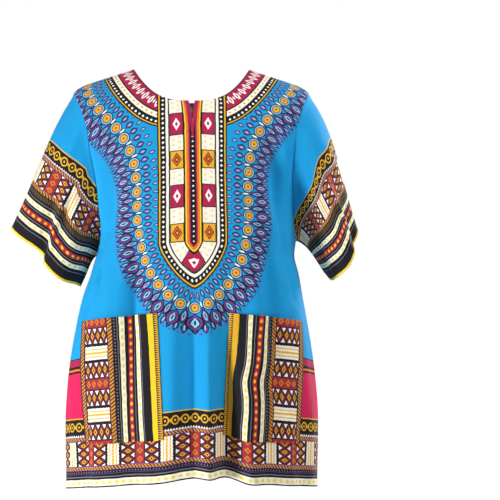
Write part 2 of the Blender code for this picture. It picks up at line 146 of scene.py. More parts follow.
# Large folds of the body. Foot and head places and the half width are shares of a row,
# with left negative. A fold starts at the level `head`, is full at `heart`, and would
# end at `foot`, which may lie below the hem. It also lifts the cloth by `lift`.
BodyFold = namedtuple("BodyFold", "foot_at head_at half_width depth lift head heart foot")
FRONT_FOLDS = table(
    BodyFold,
    (0.020, 0.020, 0.270, 0.002, 0.007, -0.46, -0.74, -1.30),
    (0.210, 0.180, 0.135, -0.026, 0.006, -0.36, -0.74, -1.30),
    (0.075, 0.060, 0.090, 0.011, -0.001, -0.34, -0.70, -1.20),
    (0.340, 0.280, 0.110, 0.007, -0.001, -0.42, -0.74, -1.30),
    (-0.370, -0.400, 0.130, -0.009, 0.001, -0.24, -0.42, -1.10),
    (-0.200, -0.160, 0.120, 0.006, 0.000, -0.40, -0.72, -1.20),
    (0.480, 0.500, 0.120, -0.010, 0.001, -0.20, -0.36, -1.00),
    (-0.700, -0.640, 0.120, -0.009, 0.000, -0.48, -0.74, -1.30),
    (0.720, 0.680, 0.110, -0.008, 0.000, -0.50, -0.74, -1.30),
    (0.760, 0.760, 0.200, -0.011, 0.000, -0.08, -0.22, -0.46),
    (-0.780, -0.780, 0.180, -0.008, 0.000, -0.10, -0.24, -0.44))
BACK_FOLDS = table(
    BodyFold,
    (-0.060, 0.020, 0.150, -0.018, 0.003, -0.22, -0.60, -1.30),
    (-0.330, -0.260, 0.140, 0.012, 0.000, -0.30, -0.70, -1.30),
    (0.270, 0.300, 0.130, 0.011, 0.000, -0.34, -0.70, -1.30),
    (0.470, 0.420, 0.120, -0.014, 0.003, -0.30, -0.68, -1.20),
    (-0.580, -0.520, 0.120, -0.012, 0.002, -0.36, -0.74, -1.30),
    (0.760, 0.760, 0.200, -0.011, 0.000, -0.09, -0.24, -0.52),
    (-0.760, -0.750, 0.200, -0.012, 0.000, -0.08, -0.22, -0.48))

# Large folds of a sleeve, with places and half widths as shares of the way round.
SleeveFold = namedtuple("SleeveFold", "place half_width depth drop reach")
LEFT_SLEEVE_FOLDS = table(
    SleeveFold,
    (0.42, 0.20, -0.010, -0.004, 0.75),
    (0.66, 0.20, 0.008, 0.005, 0.70),
    (-0.50, 0.24, -0.010, 0.000, 0.70))
RIGHT_SLEEVE_FOLDS = table(
    SleeveFold,
    (0.24, 0.17, -0.017, 0.000, 0.55),
    (0.52, 0.24, 0.007, 0.003, 0.60),
    (-0.42, 0.24, -0.011, 0.000, 0.70))

# A cuff's opening: its outer and inner points, half its depth and how its front leans,
# and how the sleeve leaves the shoulder (cap), meets the cuff (flare) and leaves the
# underarm (kick).
Cuff = namedtuple("Cuff", "outer_x outer_z inner_x inner_z half_depth front_x front_z"
                          " cap flare kick")
LEFT_CUFF = Cuff(-0.333, -0.293, -0.204, -0.401, 0.050, 0.000, -0.003, 0.18, 0.20, 0.30)
RIGHT_CUFF = Cuff(0.308, -0.296, 0.256, -0.389, 0.072, 0.005, -0.010, 0.36, 0.00, 0.90)

# Columns and rows run between the same guides as the solids', in finer steps.
COLUMN_STEPS = (17, 24, 24, 27)
ROW_STEPS = (26, 74, 46, 78, 22)
SLEEVE_STEPS = 92
INNER_GUIDE, NECK_GUIDE, OUTER_GUIDE = 1, 2, 3
POCKET_FOOT_ROW, POCKET_TOP_ROW, UNDERARM_ROW, SLIT_ROW, TOP_ROW = 1, 2, 3, 4, 5
YOKE_GUIDES = (0.0, 0.050, NECK_HALF_WIDTH, 0.172, SHOULDER_TIP)    # on the top edge
SECTION_SAMPLES = 97
LEAST_RISE = 0.3            # the least share of a step upwards that counts as height

# ---------------------------------------------------------------- the cloth's own form
HEM_TURN = 15 * MM          # depth of the turned hems
HEM_RISE = 0.5 * MM         # how far their second layer lifts the face
HEM_STEP = 2 * MM           # how wide the edge of that layer is
SEAM_GROOVE = 1.4 * MM
SEAM_GROOVE_WIDTH = 4.5 * MM
SEAM_STILL = 12 * MM        # creases of a panel die away this near a seam
SLEEVE_STILL = 20 * MM
SLEEVE_RISE = 2.2 * MM      # how far the sleeve stands up beyond its seam
SLEEVE_RISE_WIDTH = 9 * MM
CREASE_TIP = 0.10           # how round a pressed line's tip is, in its half widths
CREASE_END = 0.04           # a crease keeps the depth that it has this near its ends
CREASE_TAPER = 0.6          # and is full sooner the smaller this is
SHOULDER_SHARE = 0.35       # how deep a soft crease's low shoulders are
SHOULDER_SPREAD = 5.0
POCKET_PROUD = 0.5 * MM     # how far a pocket stands off the panel
POCKET_BILLOW = 1.6 * MM    # and how much farther away from its seams
POCKET_MOUTH = 2.2 * MM     # and at its mouth
POCKET_KINK = 5.0 * MM      # the right pocket's cross fold carries its stripes inwards
KINK_LEVEL = 0.106
KINK_HALF = 0.026
POCKET_SIDE_SWELL = 6       # it stands off within a sixth of its width from a side,
POCKET_FOOT_SWELL = 8       # and an eighth of its height from the foot;
POCKET_MOUTH_FROM = 0.8     # its mouth hangs slack from this share of its height up
KINK_SIDES = 7              # the cross fold fades within a seventh of the width

# A crease runs across the cloth from one end to the other, in metres across from the
# centre (left is negative) and up. A negative depth is a trough, and `half` is its half
# width. A sharp one (1) comes to a pressed line, and a soft one (0) has low shoulders.
Crease = namedtuple("Crease", "across_a up_a across_b up_b half depth sharp")
FRONT_CREASES = table(
    Crease,
    # the two pressed lines where the shirt was folded, and the folds between them
    (-0.112, -0.240, -0.108, -0.580, 0.020, -0.0120, 1),
    (0.121, -0.240, 0.118, -0.580, 0.020, 0.0110, 1),
    (-0.040, -0.380, -0.038, -0.780, 0.016, 0.0080, 0),
    (-0.004, -0.380, 0.000, -0.780, 0.012, -0.0100, 1),
    (0.026, -0.400, 0.028, -0.780, 0.010, 0.0066, 0),
    (0.064, -0.330, 0.062, -0.760, 0.012, -0.0076, 0),
    (0.085, -0.380, 0.086, -0.540, 0.009, -0.0040, 1),
    # from the left armhole down
    (-0.163, -0.045, -0.158, -0.200, 0.014, 0.0020, 0),
    (-0.150, -0.215, -0.205, -0.305, 0.011, -0.0026, 0),
    (-0.178, -0.330, -0.184, -0.385, 0.008, -0.0070, 0),
    (-0.182, -0.370, -0.216, -0.430, 0.008, -0.0060, 0),
    (-0.160, -0.330, -0.158, -0.480, 0.014, 0.0030, 0),
    (-0.212, -0.350, -0.206, -0.500, 0.012, -0.0026, 0),
    # from the right armhole down
    (0.138, -0.090, 0.148, -0.200, 0.010, -0.0030, 0),
    (0.152, -0.150, 0.200, -0.400, 0.010, -0.0056, 0),
    (0.168, -0.100, 0.186, -0.250, 0.011, 0.0036, 0),
    (0.150, -0.285, 0.168, -0.425, 0.013, 0.0026, 0),
    (0.196, -0.085, 0.199, -0.175, 0.010, -0.0030, 0),
    (0.204, -0.262, 0.160, -0.322, 0.010, -0.0020, 0),
    # at the sides and the hem
    (-0.170, -0.470, -0.160, -0.660, 0.014, -0.0026, 0),
    (0.154, -0.450, 0.162, -0.640, 0.014, -0.0026, 0),
    (-0.240, -0.400, -0.250, -0.580, 0.015, -0.0032, 0),
    (0.246, -0.420, 0.254, -0.620, 0.014, -0.0030, 0),
    (-0.262, -0.560, -0.256, -0.740, 0.013, -0.0028, 0),
    (0.190, -0.590, 0.204, -0.760, 0.012, -0.0030, 0),
    (-0.204, -0.620, -0.196, -0.760, 0.011, -0.0028, 0),
    (-0.072, -0.640, -0.066, -0.760, 0.010, -0.0026, 0),
    # below the neckline
    (-0.098, -0.060, -0.150, -0.100, 0.014, -0.0016, 0),
    (0.104, -0.066, 0.150, -0.100, 0.013, -0.0016, 0),
    (-0.020, -0.110, -0.050, -0.180, 0.015, -0.0012, 0),
    (0.024, -0.112, 0.046, -0.200, 0.014, -0.0014, 0))
BACK_CREASES = table(
    Crease,
    # the pressed lines and the folds that hang from the shoulder blades
    (-0.112, -0.270, -0.108, -0.700, 0.026, -0.0056, 1),
    (0.116, -0.240, 0.120, -0.680, 0.026, 0.0054, 1),
    (0.004, -0.200, -0.002, -0.560, 0.016, 0.0040, 1),
    (-0.040, -0.300, -0.036, -0.700, 0.014, -0.0048, 0),
    (0.030, -0.360, 0.036, -0.740, 0.012, -0.0040, 0),
    (0.070, -0.280, 0.076, -0.640, 0.015, -0.0042, 0),
    (-0.078, -0.400, -0.072, -0.760, 0.013, 0.0034, 0),
    (-0.080, -0.100, -0.030, -0.210, 0.016, -0.0030, 0),
    (0.086, -0.104, 0.036, -0.230, 0.016, -0.0034, 0),
    # from the armholes down
    (-0.170, -0.100, -0.104, -0.390, 0.018, -0.0042, 0),
    (-0.182, -0.190, -0.124, -0.500, 0.016, -0.0036, 0),
    (-0.196, -0.235, -0.214, -0.400, 0.013, 0.0026, 0),
    (-0.204, -0.290, -0.146, -0.600, 0.016, -0.0038, 0),
    (0.166, -0.095, 0.108, -0.410, 0.018, -0.0044, 0),
    (0.188, -0.200, 0.132, -0.470, 0.015, -0.0034, 0),
    (0.186, -0.250, 0.212, -0.410, 0.013, 0.0026, 0),
    (0.204, -0.285, 0.150, -0.600, 0.015, -0.0038, 0),
    # at the sides and the hem
    (-0.146, -0.440, -0.150, -0.700, 0.014, -0.0036, 0),
    (0.154, -0.440, 0.146, -0.730, 0.013, -0.0036, 0),
    (-0.206, -0.430, -0.218, -0.660, 0.015, -0.0038, 0),
    (0.206, -0.440, 0.222, -0.650, 0.014, -0.0036, 0),
    (-0.030, -0.600, -0.044, -0.760, 0.012, -0.0030, 0),
    (0.100, -0.620, 0.094, -0.760, 0.012, -0.0030, 0),
    (-0.180, -0.640, -0.170, -0.760, 0.012, -0.0028, 0),
    (0.258, -0.600, 0.262, -0.760, 0.012, -0.0026, 0),
    (-0.262, -0.620, -0.258, -0.760, 0.012, -0.0024, 0),
    (-0.010, -0.080, 0.014, -0.150, 0.018, -0.0014, 0))
# On a sleeve: round from the shoulder line (over the front is positive), and up from
# the cuff.
SLEEVE_HALF_ROUND = 0.225   # half the way round a sleeve
LEFT_SLEEVE_CREASES = table(
    Crease,
    (0.120, 0.000, 0.086, 0.150, 0.009, -0.0100, 0),
    (0.101, 0.000, 0.068, 0.150, 0.010, 0.0045, 0),
    (0.165, 0.030, 0.120, 0.130, 0.011, -0.0045, 0),
    (0.035, 0.010, 0.060, 0.210, 0.014, -0.0032, 0),
    (0.185, 0.000, 0.172, 0.070, 0.010, -0.0037, 0),
    (0.076, 0.150, 0.050, 0.270, 0.012, -0.0037, 0),
    (-0.070, 0.000, -0.090, 0.190, 0.012, -0.0052, 0),
    (-0.120, 0.020, -0.130, 0.160, 0.011, -0.0045, 0),
    (-0.172, 0.010, -0.130, 0.120, 0.010, -0.0037, 0),
    (-0.020, 0.100, -0.050, 0.250, 0.014, -0.0030, 0))
RIGHT_SLEEVE_CREASES = table(
    Crease,
    (0.060, 0.000, 0.084, 0.150, 0.010, -0.0065, 0),
    (0.110, 0.000, 0.104, 0.130, 0.011, 0.0034, 0),
    (0.150, 0.040, 0.112, 0.160, 0.010, -0.0044, 0),
    (0.026, 0.060, 0.050, 0.220, 0.013, -0.0031, 0),
    (0.176, 0.000, 0.160, 0.080, 0.010, -0.0037, 0),
    (-0.064, 0.000, -0.086, 0.180, 0.012, -0.0054, 0),
    (-0.114, 0.020, -0.120, 0.150, 0.011, -0.0048, 0),
    (-0.166, 0.010, -0.124, 0.120, 0.010, -0.0041, 0),
    (-0.024, 0.110, -0.054, 0.230, 0.014, -0.0027, 0))

# How much of the cuff border's print is lost near the armhole of the right sleeve, at
# each share of the way round. The higher the power, the nearer to the armhole.
CROWD_POWER = 4
CuffCrowd = namedtuple("CuffCrowd", "place extra")
RIGHT_CUFF_CROWD = table(
    CuffCrowd, (-1.00, 0.075), (-0.90, 0.060), (-0.70, 0.024), (-0.50, 0.000),
    (0.00, 0.000), (0.30, 0.000), (0.40, 0.048), (0.50, 0.075), (0.60, 0.060),
    (0.70, 0.053), (0.80, 0.047), (0.90, 0.052), (1.00, 0.075))

# The left sleeve's sharp fold: right of it the cloth hangs lower.
STEP_PLACE_AT_CUFF = 0.50
STEP_PLACE_AT_HEAD = 0.34
STEP_REACH = 0.150          # how far up from the cuff
STEP_DROP = 0.007
STEP_SHARPNESS = 0.05       # how wide its edge is, and how far round it dies away
STEP_WIDTH = 0.42

# The garland's middle line, from the centre to the shoulder seam, drawn on the cloth.
GARLAND_PITCH = 26          # millimetres from one rosette to the next
GARLAND_SAMPLES = 140       # points worked out along the line
GARLAND_RUN_ON = 8          # it runs on straight for so many of them less one
GarlandPoint = namedtuple("GarlandPoint", "place across up")
GARLAND_FRONT = table(
    GarlandPoint, (-0.8, -0.030, -0.424), (0.0, 0.000, -0.436), (0.8, 0.030, -0.424),
    (1.7, 0.062, -0.392), (2.8, 0.088, -0.345), (4.0, 0.101, -0.285),
    (5.7, 0.103, -0.205), (6.9, 0.110, -0.148), (7.9, 0.129, -0.103),
    (8.8, 0.155, -0.066), (9.6, 0.177, -0.032), (10.3, 0.189, 0.000),
    (10.9, 0.192, 0.028))
GARLAND_BACK = table(
    GarlandPoint, (-0.8, -0.040, -0.134), (0.0, 0.000, -0.138), (0.8, 0.040, -0.134),
    (1.7, 0.085, -0.118), (2.7, 0.132, -0.088), (3.7, 0.168, -0.048),
    (4.6, 0.187, -0.006), (5.3, 0.192, 0.031))


# ---------------------------------------------------------------- small helpers
def steps_between(steps):
    """Guide coordinates 0, 1, 2 ... with so many equal steps between each two."""
    runs = [np.arange(count) / count + guide for guide, count in enumerate(steps)]
    return np.concatenate(runs + [[float(len(steps))]])


def ease(share):
    """A smooth rise from 0 to 1."""
    share = np.clip(share, 0.0, 1.0)
    return share * share * (3.0 - 2.0 * share)


def hump(offset):
    """A smooth hump: 1 in the middle, and 0 from an offset of 1 on."""
    return 0.5 + 0.5 * np.cos(pi * np.clip(offset, -1.0, 1.0))


def bell(distance, width):
    """A bell curve: 1 in the middle, which has all but died away at twice the width."""
    return np.exp(-(distance / width) ** 2)


def span(t, start, leaving, end, arriving):
    """A smooth way from start to end, which leaves and arrives with these slopes."""
    first = (1 + 2 * t) * (1 - t) ** 2 * start + t * (1 - t) ** 2 * leaving
    return first + (t * t * (3 - 2 * t) * end + t * t * (t - 1) * arriving)


def read(rows, column, at):
    """A column of a table, read at `at` of its first column on a smooth curve."""
    places = np.array([row[0] for row in rows])
    values = np.array([getattr(row, column) for row in rows])
    slopes = np.gradient(values, places)
    at = np.clip(at, places[0], places[-1])
    low = np.clip(np.searchsorted(places, at) - 1, 0, len(places) - 2)
    width = places[low + 1] - places[low]
    return span((at - places[low]) / width, values[low], width * slopes[low],
                values[low + 1], width * slopes[low + 1])


def unit(vectors):
    """The same vectors, each one metre long."""
    return vectors / np.maximum(np.linalg.norm(vectors, axis=-1, keepdims=True), 1e-12)


# ---------------------------------------------------------------- body
def ridge_height(x):
    """Height of the shoulder ridge at a distance x from the centre."""
    out = np.abs(x) - NECK_HALF_WIDTH
    bend = (np.abs(x) - SHOULDER_BEND_START) / (SHOULDER_TIP - SHOULDER_BEND_START)
    slope = -SHOULDER_SLOPE * np.maximum(out, 0.0)
    return slope - SHOULDER_BEND_DROP * np.clip(bend, 0.0, None) ** 2


def top_height(face, x):
    """Height of a panel's top edge: the neckline, and the ridge beyond it."""
    drop, power = {FRONT: (FRONT_NECK_DROP, FRONT_NECK_CURVE),
                   BACK: (BACK_NECK_DROP, BACK_NECK_CURVE)}[face]
    share = np.minimum(np.abs(x) / NECK_HALF_WIDTH, 1.0)
    return np.where(share < 1.0, -drop * (1.0 - share ** power), ridge_height(x))


def section(half_width, centre_depth, edge_depth=0.0, reach=radians(90)):
    """Plan curve from the centre to an edge: turn, x, depth and length so far."""
    turn = np.linspace(0.0, reach, SECTION_SAMPLES)
    x, depth = section_point(turn, half_width, centre_depth, edge_depth, reach)
    run = np.concatenate([[0.0], np.cumsum(np.hypot(np.diff(x), np.diff(depth)))])
    return turn, x, depth, run


def section_point(turn, half_width, centre_depth, edge_depth, reach):
    """x and depth of a plan curve at these turns."""
    x = half_width * (np.sin(turn) / np.sin(reach)) ** ROUNDNESS
    edge = max(np.cos(reach), 0.0) ** ROUNDNESS
    bow = (np.clip(np.cos(turn), 0.0, None) ** ROUNDNESS - edge) / (1.0 - edge)
    return x, edge_depth + (centre_depth - edge_depth) * bow


def guide_shares(side, level):
    """Where the column guides cross a closed row, as shares of its length."""
    height_share = min((level - POCKET_FOOT_LEVEL) / POCKET_HEIGHT, 1.0)
    inner = POCKET_INNER_FOOT + (POCKET_INNER_TOP - POCKET_INNER_FOOT) * height_share
    level = min(level, POCKET_TOP_LEVEL)
    length = section(read(SIDE_SECTIONS, SIDE_COLUMN[side], level),
                     read(FIGURE_DEPTHS, "front", level))[3][-1]
    inner_share = inner / length
    outer_share = (inner + POCKET_WIDTH) / length
    return (0.0, inner_share, (inner_share + outer_share) / 2, outer_share, 1.0)


def lean(share, fall):
    """How far a point is carried to the right; `fall` is 0 at the neck, 1 at the hem."""
    return CENTRE_LEAN * fall * (1.0 - share) ** 2


def closed_row(face, side, columns, level):
    """Points of a row below the underarm, their shares of it and their cloth lengths."""
    _, x, depth, run = section(read(SIDE_SECTIONS, SIDE_COLUMN[side], level),
                               read(FIGURE_DEPTHS, DEPTH_COLUMN[face], level))
    share = np.interp(columns, range(len(COLUMN_STEPS) + 1), guide_shares(side, level))
    sink = read(SIDE_SECTIONS, SIDE_COLUMN[side] + "_sink", level)
    across = share * run[-1]
    below = ease((UNDERARM_LEVEL - level) / LEAN_HEIGHT)
    fall = UNDERARM_LEAN + (1.0 - UNDERARM_LEAN) * below
    row_x = side * np.interp(across, run, x) + lean(share, fall)
    row_y = face * np.interp(across, run, depth)
    row_z = level - sink * share ** GRAIN_CURVE
    return np.stack([row_x, row_y, row_z], axis=-1), share, across


def slit_share():
    """Share of the way from the underarm row to the neckline where the slit starts."""
    height = -FRONT_NECK_DROP - UNDERARM_LEVEL
    return 1.0 - (SLIT_LENGTH / height) ** (1 / RISE_POWER)


def open_row(face, side, columns, up):
    """Points of a row between the armholes, `up` from the underarm row to the top."""
    foot, share, _ = closed_row(face, side, columns, UNDERARM_LEVEL)
    top_x = np.interp(columns, range(len(YOKE_GUIDES)), YOKE_GUIDES)
    rise = 1.0 - (1.0 - up) ** RISE_POWER
    z = foot[:, 2] + (top_height(face, top_x) - foot[:, 2]) * rise

    edge_x = read(ARMHOLE, SIDE_COLUMN[side], up)
    edge_depth = read(ARMHOLE, DEPTH_COLUMN[face], up)
    reach = TURN_AT_UNDERARM + (TURN_AT_YOKE - TURN_AT_UNDERARM) * ease(up / TURN_FADE)
    middle_depth = read(FIGURE_DEPTHS, DEPTH_COLUMN[face], np.mean(z))
    turns, _, _, run = section(edge_x, middle_depth, edge_depth, reach)
    width_share = share + (top_x / SHOULDER_TIP - share) * up
    across = width_share * run[-1]
    turn = np.interp(across, run, turns)
    flat_turn = np.arcsin(width_share ** (1 / ROUNDNESS) * np.sin(reach))
    turn = turn + (flat_turn - turn) * ease(up)
    centre_depth = read(FIGURE_DEPTHS, DEPTH_COLUMN[face], z)
    x, depth = section_point(turn, edge_x, centre_depth, edge_depth, reach)

    roll = SHOULDER_ROUND_FRONT if face == FRONT else SHOULDER_ROUND_BACK
    below = np.clip((ridge_height(x) - z) / roll, 0.0, 1.0)
    y = depth * (1.0 - (1.0 - below) ** SHOULDER_ROUND_POWER) ** (1 / SHOULDER_ROUND_POWER)
    if face == FRONT:
        opening = np.clip((up - slit_share()) / (1.0 - slit_share()), 0.0, 1.0)
        x = x + SLIT_HALF_WIDTH * opening * np.clip(1.0 - columns, 0.0, 1.0)
    x = side * x + lean(width_share, UNDERARM_LEAN * (1.0 - up))
    return np.stack([x, face * y, z], axis=-1), share, across


def plain_row(face, side, columns, row):
    """A row of a panel without its folds, each point's share and its cloth length."""
    if row <= UNDERARM_ROW:
        return closed_row(face, side, columns, np.interp(row, range(len(LEVELS)), LEVELS))
    up = np.interp(row, (UNDERARM_ROW, SLIT_ROW, TOP_ROW), (0.0, slit_share(), 1.0))
    return open_row(face, side, columns, up)


def fold_push(face, side, share, height):
    """How far the large folds push the cloth out, and how far they lift it."""
    out = np.zeros_like(share)
    lift = np.zeros_like(share)
    for fold in (FRONT_FOLDS if face == FRONT else BACK_FOLDS):
        along = np.clip((fold.head - height) / (fold.head - HEM_LEVEL), 0.0, 1.0)
        place = fold.head_at + (fold.foot_at - fold.head_at) * along
        growing = ease((fold.head - height) / (fold.head - fold.heart))
        dying = 1.0 - ease((fold.heart - height) / (fold.heart - fold.foot))
        bump = hump((side * share - place) / fold.half_width) * growing * dying
        out += fold.depth * bump
        lift += fold.lift * bump
    return out, lift


def crease_push(creases, across, up, strength):
    """How far the fine creases push the cloth out."""
    out = np.zeros_like(across)
    for crease in creases:
        run_x, run_y = crease.across_b - crease.across_a, crease.up_b - crease.up_a
        length = np.hypot(run_x, run_y)
        along = ((across - crease.across_a) * run_x + (up - crease.up_a) * run_y) / length ** 2
        aside = ((across - crease.across_a) * run_y - (up - crease.up_a) * run_x) / length
        beyond = np.maximum(np.abs(along - 0.5) - 0.5, 0.0) * length
        wide = (aside ** 2 + beyond ** 2) / crease.half ** 2
        taper = np.sin(pi * np.clip(along, CREASE_END, 1.0 - CREASE_END)) ** CREASE_TAPER
        if crease.sharp:
            form = np.exp(CREASE_TIP - np.sqrt(wide + CREASE_TIP ** 2))
        else:
            form = np.exp(-wide) - SHOULDER_SHARE * np.exp(-wide / SHOULDER_SPREAD)
        out += crease.depth * taper * form
    return out * strength


def grid_normals(points):
    """Unit normals of a grid of points, rows by columns, all on the same side of it."""
    upward = np.gradient(points, axis=0)
    sideways = np.gradient(points, axis=1)
    return unit(np.cross(sideways, upward))


Panel = namedtuple("Panel", "points normals across up columns rows")


def panel_half(face, side, strength):
    """Half of the front or back, folds, creases, hem and all, with cloth coordinates."""
    columns, rows = steps_between(COLUMN_STEPS), steps_between(ROW_STEPS)
    found = [plain_row(face, side, columns, row) for row in rows]
    points, share, across = (np.array(part) for part in zip(*found))

    up = np.interp(rows, range(len(LEVELS)), LEVELS)[:, None] + np.zeros_like(across)
    move = np.linalg.norm(np.diff(points, axis=0), axis=-1)
    rise = np.sqrt(np.maximum(move ** 2 - np.diff(across, axis=0) ** 2, (LEAST_RISE * move) ** 2))
    first = int(np.searchsorted(rows, UNDERARM_ROW))
    up[first + 1:] = up[first] + np.cumsum(rise[first:], axis=0)

    normals = grid_normals(points) * side * -face
    normals[:, 0, 0] = 0.0
    normals = unit(normals)
    out, lift = fold_push(face, side, share, points[..., 2])
    creases = FRONT_CREASES if face == FRONT else BACK_CREASES
    from_seam = across[:, -1:] - across
    still = ease(from_seam / SEAM_STILL)
    out += crease_push(creases, side * across, up, strength) * still
    out += HEM_RISE * (1.0 - ease((up - HEM_LEVEL - HEM_TURN) / HEM_STEP))
    out -= SEAM_GROOVE * bell(from_seam, SEAM_GROOVE_WIDTH)
    points = points + normals * out[..., None]
    points[..., 2] += lift

    vent_top = HEM_LEVEL - SIDE_SECTIONS[0].left_sink + VENT_HEIGHT
    opening = np.clip((vent_top - points[..., 2]) / VENT_HEIGHT, 0.0, 1.0)
    near_seam = np.clip(columns - OUTER_GUIDE, 0.0, 1.0)
    points[..., 1] += face * VENT_HALF_WIDTH * opening * near_seam
    normals = grid_normals(points) * side * -face
    return Panel(points, normals, across, up, columns, rows)


def line_coordinates(where, line):
    """Each point's length along a line drawn on the cloth, the line's turn so far, and
    the distance from it, positive on the left of its way."""
    leg = np.diff(line, axis=0)
    length = np.linalg.norm(leg, axis=1)
    run = np.concatenate([[0.0], np.cumsum(length)])
    heading = np.unwrap(np.arctan2(leg[:, 1], leg[:, 0]))
    turn_at = np.concatenate([[heading[0]], (heading[1:] + heading[:-1]) / 2, [heading[-1]]])
    turn_at = turn_at - turn_at[0]
    nearest = np.full(where.shape[:-1], np.inf)
    along, turn, side = np.zeros((3, *nearest.shape))
    for index in range(len(leg)):
        from_start = where - line[index]
        part = np.clip(from_start @ leg[index] / length[index] ** 2, 0.0, 1.0)
        gap = np.linalg.norm(from_start - part[..., None] * leg[index], axis=-1)
        closer = gap < nearest
        nearest = np.where(closer, gap, nearest)
        along = np.where(closer, run[index] + part * length[index], along)
        bend = turn_at[index + 1] - turn_at[index]
        turn = np.where(closer, turn_at[index] + part * bend, turn)
        left = leg[index, 0] * from_start[..., 1] - leg[index, 1] * from_start[..., 0]
        side = np.where(closer, np.sign(left), side)
    return along, turn, nearest * side


def yoke_coordinates(panel, face):
    """Coordinates for the bands round the neckline, and for the garland outside them."""
    where = np.stack([panel.across, panel.up], axis=-1)
    neck = panel.columns <= NECK_GUIDE
    neckline = where[-1, neck][::-1]
    run, turn, distance = line_coordinates(where, neckline)
    collar = np.stack([run, np.abs(turn), np.abs(distance)], axis=-1)

    path = GARLAND_FRONT if face == FRONT else GARLAND_BACK
    places = np.linspace(0.0, path[-1].place, GARLAND_SAMPLES)
    line = np.stack([read(path, "across", places), read(path, "up", places)], axis=-1)
    whole = np.linalg.norm(np.diff(line, axis=0), axis=1).sum()
    line = np.concatenate([line, [2 * line[-1] - line[-GARLAND_RUN_ON]]])
    run, turn, distance = line_coordinates(where, line)
    count = round(whole / (GARLAND_PITCH * MM))
    run = run * count * GARLAND_PITCH * MM / whole
    garland = np.stack([run, turn, -distance], axis=-1)
    return collar, garland


# ---------------------------------------------------------------- sleeves
def armhole_edge(front, back):
    """The armhole's points from the shoulder tip over the front to the underarm, and
    back up behind, with each one's share of the way round (-1 to 1)."""
    upper = front.rows >= UNDERARM_ROW
    front_edge = front.points[upper, -1][::-1].copy()
    back_edge = back.points[upper, -1][::-1].copy()
    tip = (front_edge[0] + back_edge[0]) / 2
    underarm = (front_edge[-1] + back_edge[-1]) / 2
    front_edge[0], back_edge[0] = tip, tip
    front_edge[-1], back_edge[-1] = underarm, underarm

    def run_shares(points):
        run = np.cumsum(np.linalg.norm(np.diff(points, axis=0), axis=1))
        return np.concatenate([[0.0], run / run[-1]])

    points = np.concatenate([front_edge, back_edge[-2:0:-1]])
    places = np.concatenate([run_shares(front_edge), -run_shares(back_edge)[-2:0:-1]])
    return points, places


def cuff_ring(cuff, places):
    """The cuff's points at these shares of the way round, and its outward directions."""
    outer = np.array([cuff.outer_x, 0.0, cuff.outer_z])
    inner = np.array([cuff.inner_x, 0.0, cuff.inner_z])
    centre, half = (outer + inner) / 2, (outer - inner) / 2
    front = np.array([cuff.front_x, -cuff.half_depth, cuff.front_z])
    angle = (pi * places)[:, None]
    ring = centre + half * np.cos(angle) + front * np.sin(angle)
    along, forward = half / np.linalg.norm(half), front / np.linalg.norm(front)
    return ring, along * np.cos(angle) + forward * np.sin(angle)


SLEEVES = {LEFT: (LEFT_CUFF, LEFT_SLEEVE_FOLDS, LEFT_SLEEVE_CREASES),
           RIGHT: (RIGHT_CUFF, RIGHT_SLEEVE_FOLDS, RIGHT_SLEEVE_CREASES)}


def sharp_step(places, from_cuff):
    """How much lower the left sleeve's cloth hangs beyond its sharp fold."""
    share = from_cuff / STEP_REACH
    line = STEP_PLACE_AT_CUFF + (STEP_PLACE_AT_HEAD - STEP_PLACE_AT_CUFF) * share
    beyond = places - line
    step = ease(beyond / STEP_SHARPNESS + 0.5) * (1.0 - ease(beyond / STEP_WIDTH))
    return STEP_DROP * (step * ease(1.0 - share))


def bare_rings(side, edge):
    """Rings of a sleeve from the armhole to the cuff, with its large folds alone."""
    cuff, folds, _ = SLEEVES[side]
    start, places = edge
    end, outward = cuff_ring(cuff, places)
    chord = end - start
    length = np.linalg.norm(chord, axis=1, keepdims=True)
    long_axis = np.array([cuff.outer_x - cuff.inner_x, 0.0, cuff.outer_z - cuff.inner_z])
    fall = unit(np.array([long_axis[2], 0.0, -long_axis[0]]) * side)
    topness = hump(places)[:, None]
    sideways = np.array([float(side), 0.0, 0.0])
    leaving = (chord / length + cuff.cap * topness * outward
               + cuff.kick * (1.0 - topness) ** 2 * sideways)
    leaving = unit(leaving) * length
    arriving = unit(chord / length + cuff.flare * topness * (fall - chord / length)) * length

    rings = []
    for t in np.linspace(0.0, 1.0, SLEEVE_STEPS + 1):
        ring = span(t, start, leaving, end, arriving)
        for fold in folds:
            bump = hump((places - fold.place) / fold.half_width)
            bump = bump * ease(1.0 - (1.0 - t) / fold.reach)
            ring = ring + outward * (fold.depth * bump)[:, None]
            ring = ring + fall * (fold.drop * bump)[:, None]
        rings.append(ring)
    rings = np.array(rings)
    if side == LEFT:
        from_cuff = np.linspace(1.0, 0.0, SLEEVE_STEPS + 1)[:, None] * length[:, 0]
        rings = rings + fall * sharp_step(places, from_cuff)[..., None]
    return rings


